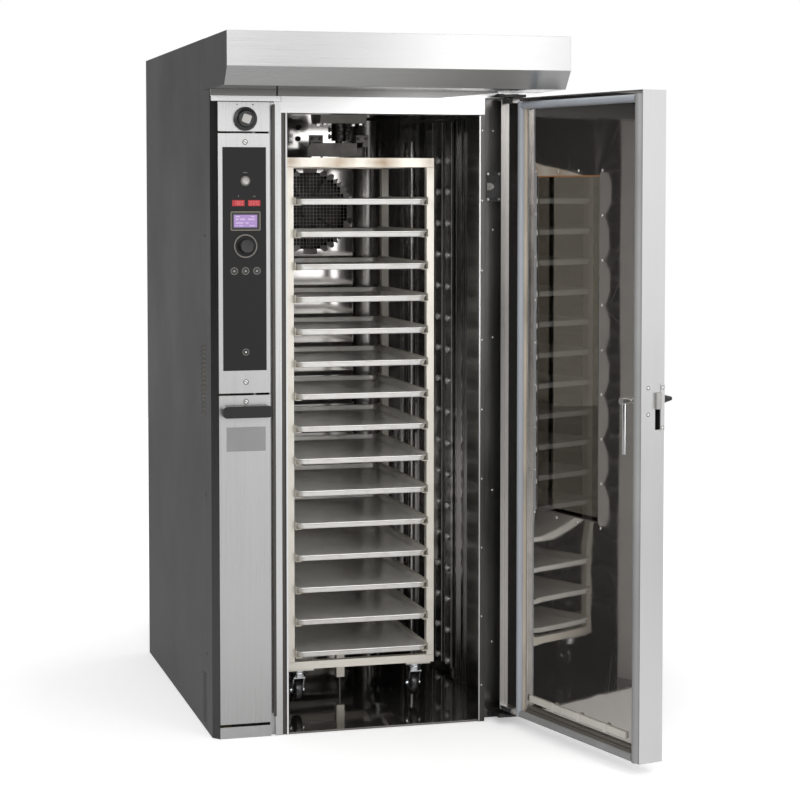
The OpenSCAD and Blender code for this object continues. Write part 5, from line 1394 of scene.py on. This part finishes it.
# %% Marks
block_piece("fascia_marks", [
    ((x, GLASS_FACE - 0.00025, z), (x + w, GLASS_FACE, z + h)) for x, z, w, h in [
        (-0.4345, 1.7825, 0.013, 0.0012), (-0.4505, 1.7066, 0.0012, 0.006),
        (-0.4035, 1.7085, 0.008, 0.0012)]], icon_grey, "cabinet", "displays")
bm = bmesh.new()
for x in (-0.453, -0.403):
    add_turned(bm, [(0.0022, 0), (0.0022, 0.0003), (0, 0.0003)], Vector((x, FRONT, 1.9945)),
               "-y", 16)
finish_piece(bm, "damper_marks", [black_plastic], "cabinet", "brushed_sheet")
print("marks made")

# %% [markdown]
# ## Room, light and floor
#
# A pale floor and a white surround. The floor glows a little, more so far out, which
# hides the line where it would meet the surround. Lamps are large and soft, at a level
# where a colour renders about as it is written. Rays that the camera, a mirror or glass
# sends into the surround see white; other light from it is weaker, so pale sheet doesn't
# burn out. A dark screen stands behind the camera, where only mirrors see it.

# %% Floor
FLOOR_HALF, FLOOR_Z = 9.0, -0.0006
GLOW_FROM, GLOW_OVER = 1.0, 1.2
finish = Finish("studio_floor")
east, north, _ = finish.parts(finish.place())
far = ((diagonal(east, north) - GLOW_FROM) / GLOW_OVER).held()
glow = finish.blend(far, grey(0.40), grey(0.62))
seen_floor = finish.add("ShaderNodeLightPath", output="Is Camera Ray")
floor_material = finish.surface(
    Base_Color=grey(0.92), Roughness=0.9, Emission_Strength=1.0,
    Emission_Color=finish.blend(seen_floor, grey(0.0), glow))
bm = bmesh.new()
bmesh.ops.create_grid(bm, x_segments=1, y_segments=1, size=FLOOR_HALF)
bmesh.ops.translate(bm, vec=(0, 0, FLOOR_Z), verts=bm.verts)
studio_floor = make_object(bm, "studio_floor", [floor_material])
print("floor laid")

# %% Surround and lamps
finish = Finish("studio", bpy.data.worlds, "ShaderNodeOutputWorld")
by_camera, by_mirror, by_glass = [finish.add("ShaderNodeLightPath", output=f"Is {kind} Ray")
                                  for kind in ("Camera", "Glossy", "Transmission")]
seen = by_glass.math("MAXIMUM", by_camera.math("MAXIMUM", by_camera, by_mirror), by_glass)
level = finish.add("ShaderNodeMapRange", None, {"Value": seen, "To Min": 0.5, "To Max": 1.0})
bpy.context.scene.world = finish.close(finish.add(
    "ShaderNodeBackground", None, {"Color": (1, 1, 1, 1), "Strength": level}))


def softbox(name, place, target, size, power):
    data = bpy.data.lights.new(name, "AREA")
    data.shape = "RECTANGLE"
    data.size, data.size_y = size
    data.energy = power
    lamp = linked(name, data)
    lamp.location = place
    lamp.rotation_euler = (Vector(target) - Vector(place)).to_track_quat("-Z", "Y").to_euler()
    lamp.visible_camera = False


softbox("front_softbox", (-1.6, -6.2, 3.6), (0, -0.4, 1.0), (3.4, 2.6), 130)
softbox("side_softbox", (1.15, -3.4, 1.9), (0.0, 0.4, 1.4), (0.7, 2.4), 12)
softbox("top_softbox", (0.0, -0.6, 5.0), (0, 0, 1.0), (3.0, 3.0), 45)
print("surround and lamps placed")

# %% The dark screen behind the camera
SCREEN_REACH, SCREEN_TOP = 9.5, 4.6
SCREEN_FROM, SCREEN_TO = math.radians(-97), math.radians(-190)
bm = bmesh.new()
foot = [bm.verts.new((SCREEN_REACH * math.cos(SCREEN_FROM),
                      SCREEN_REACH * math.sin(SCREEN_FROM), z)) for z in (0.0, SCREEN_TOP)]
bmesh.ops.spin(bm, geom=foot + [bm.edges.new(foot)], axis=(0, 0, 1), cent=(0, 0, 0),
               angle=SCREEN_TO - SCREEN_FROM, steps=24)
dark_screen = make_object(bm, "dark_screen", [
    coat("dark_screen_cloth", grey(0.03), 0.9, 30, 0.0001)])
dark_screen.visible_camera = False
dark_screen.visible_diffuse = False
dark_screen.visible_shadow = False
bpy.context.scene.view_settings.view_transform = "Standard"
print("studio ready")
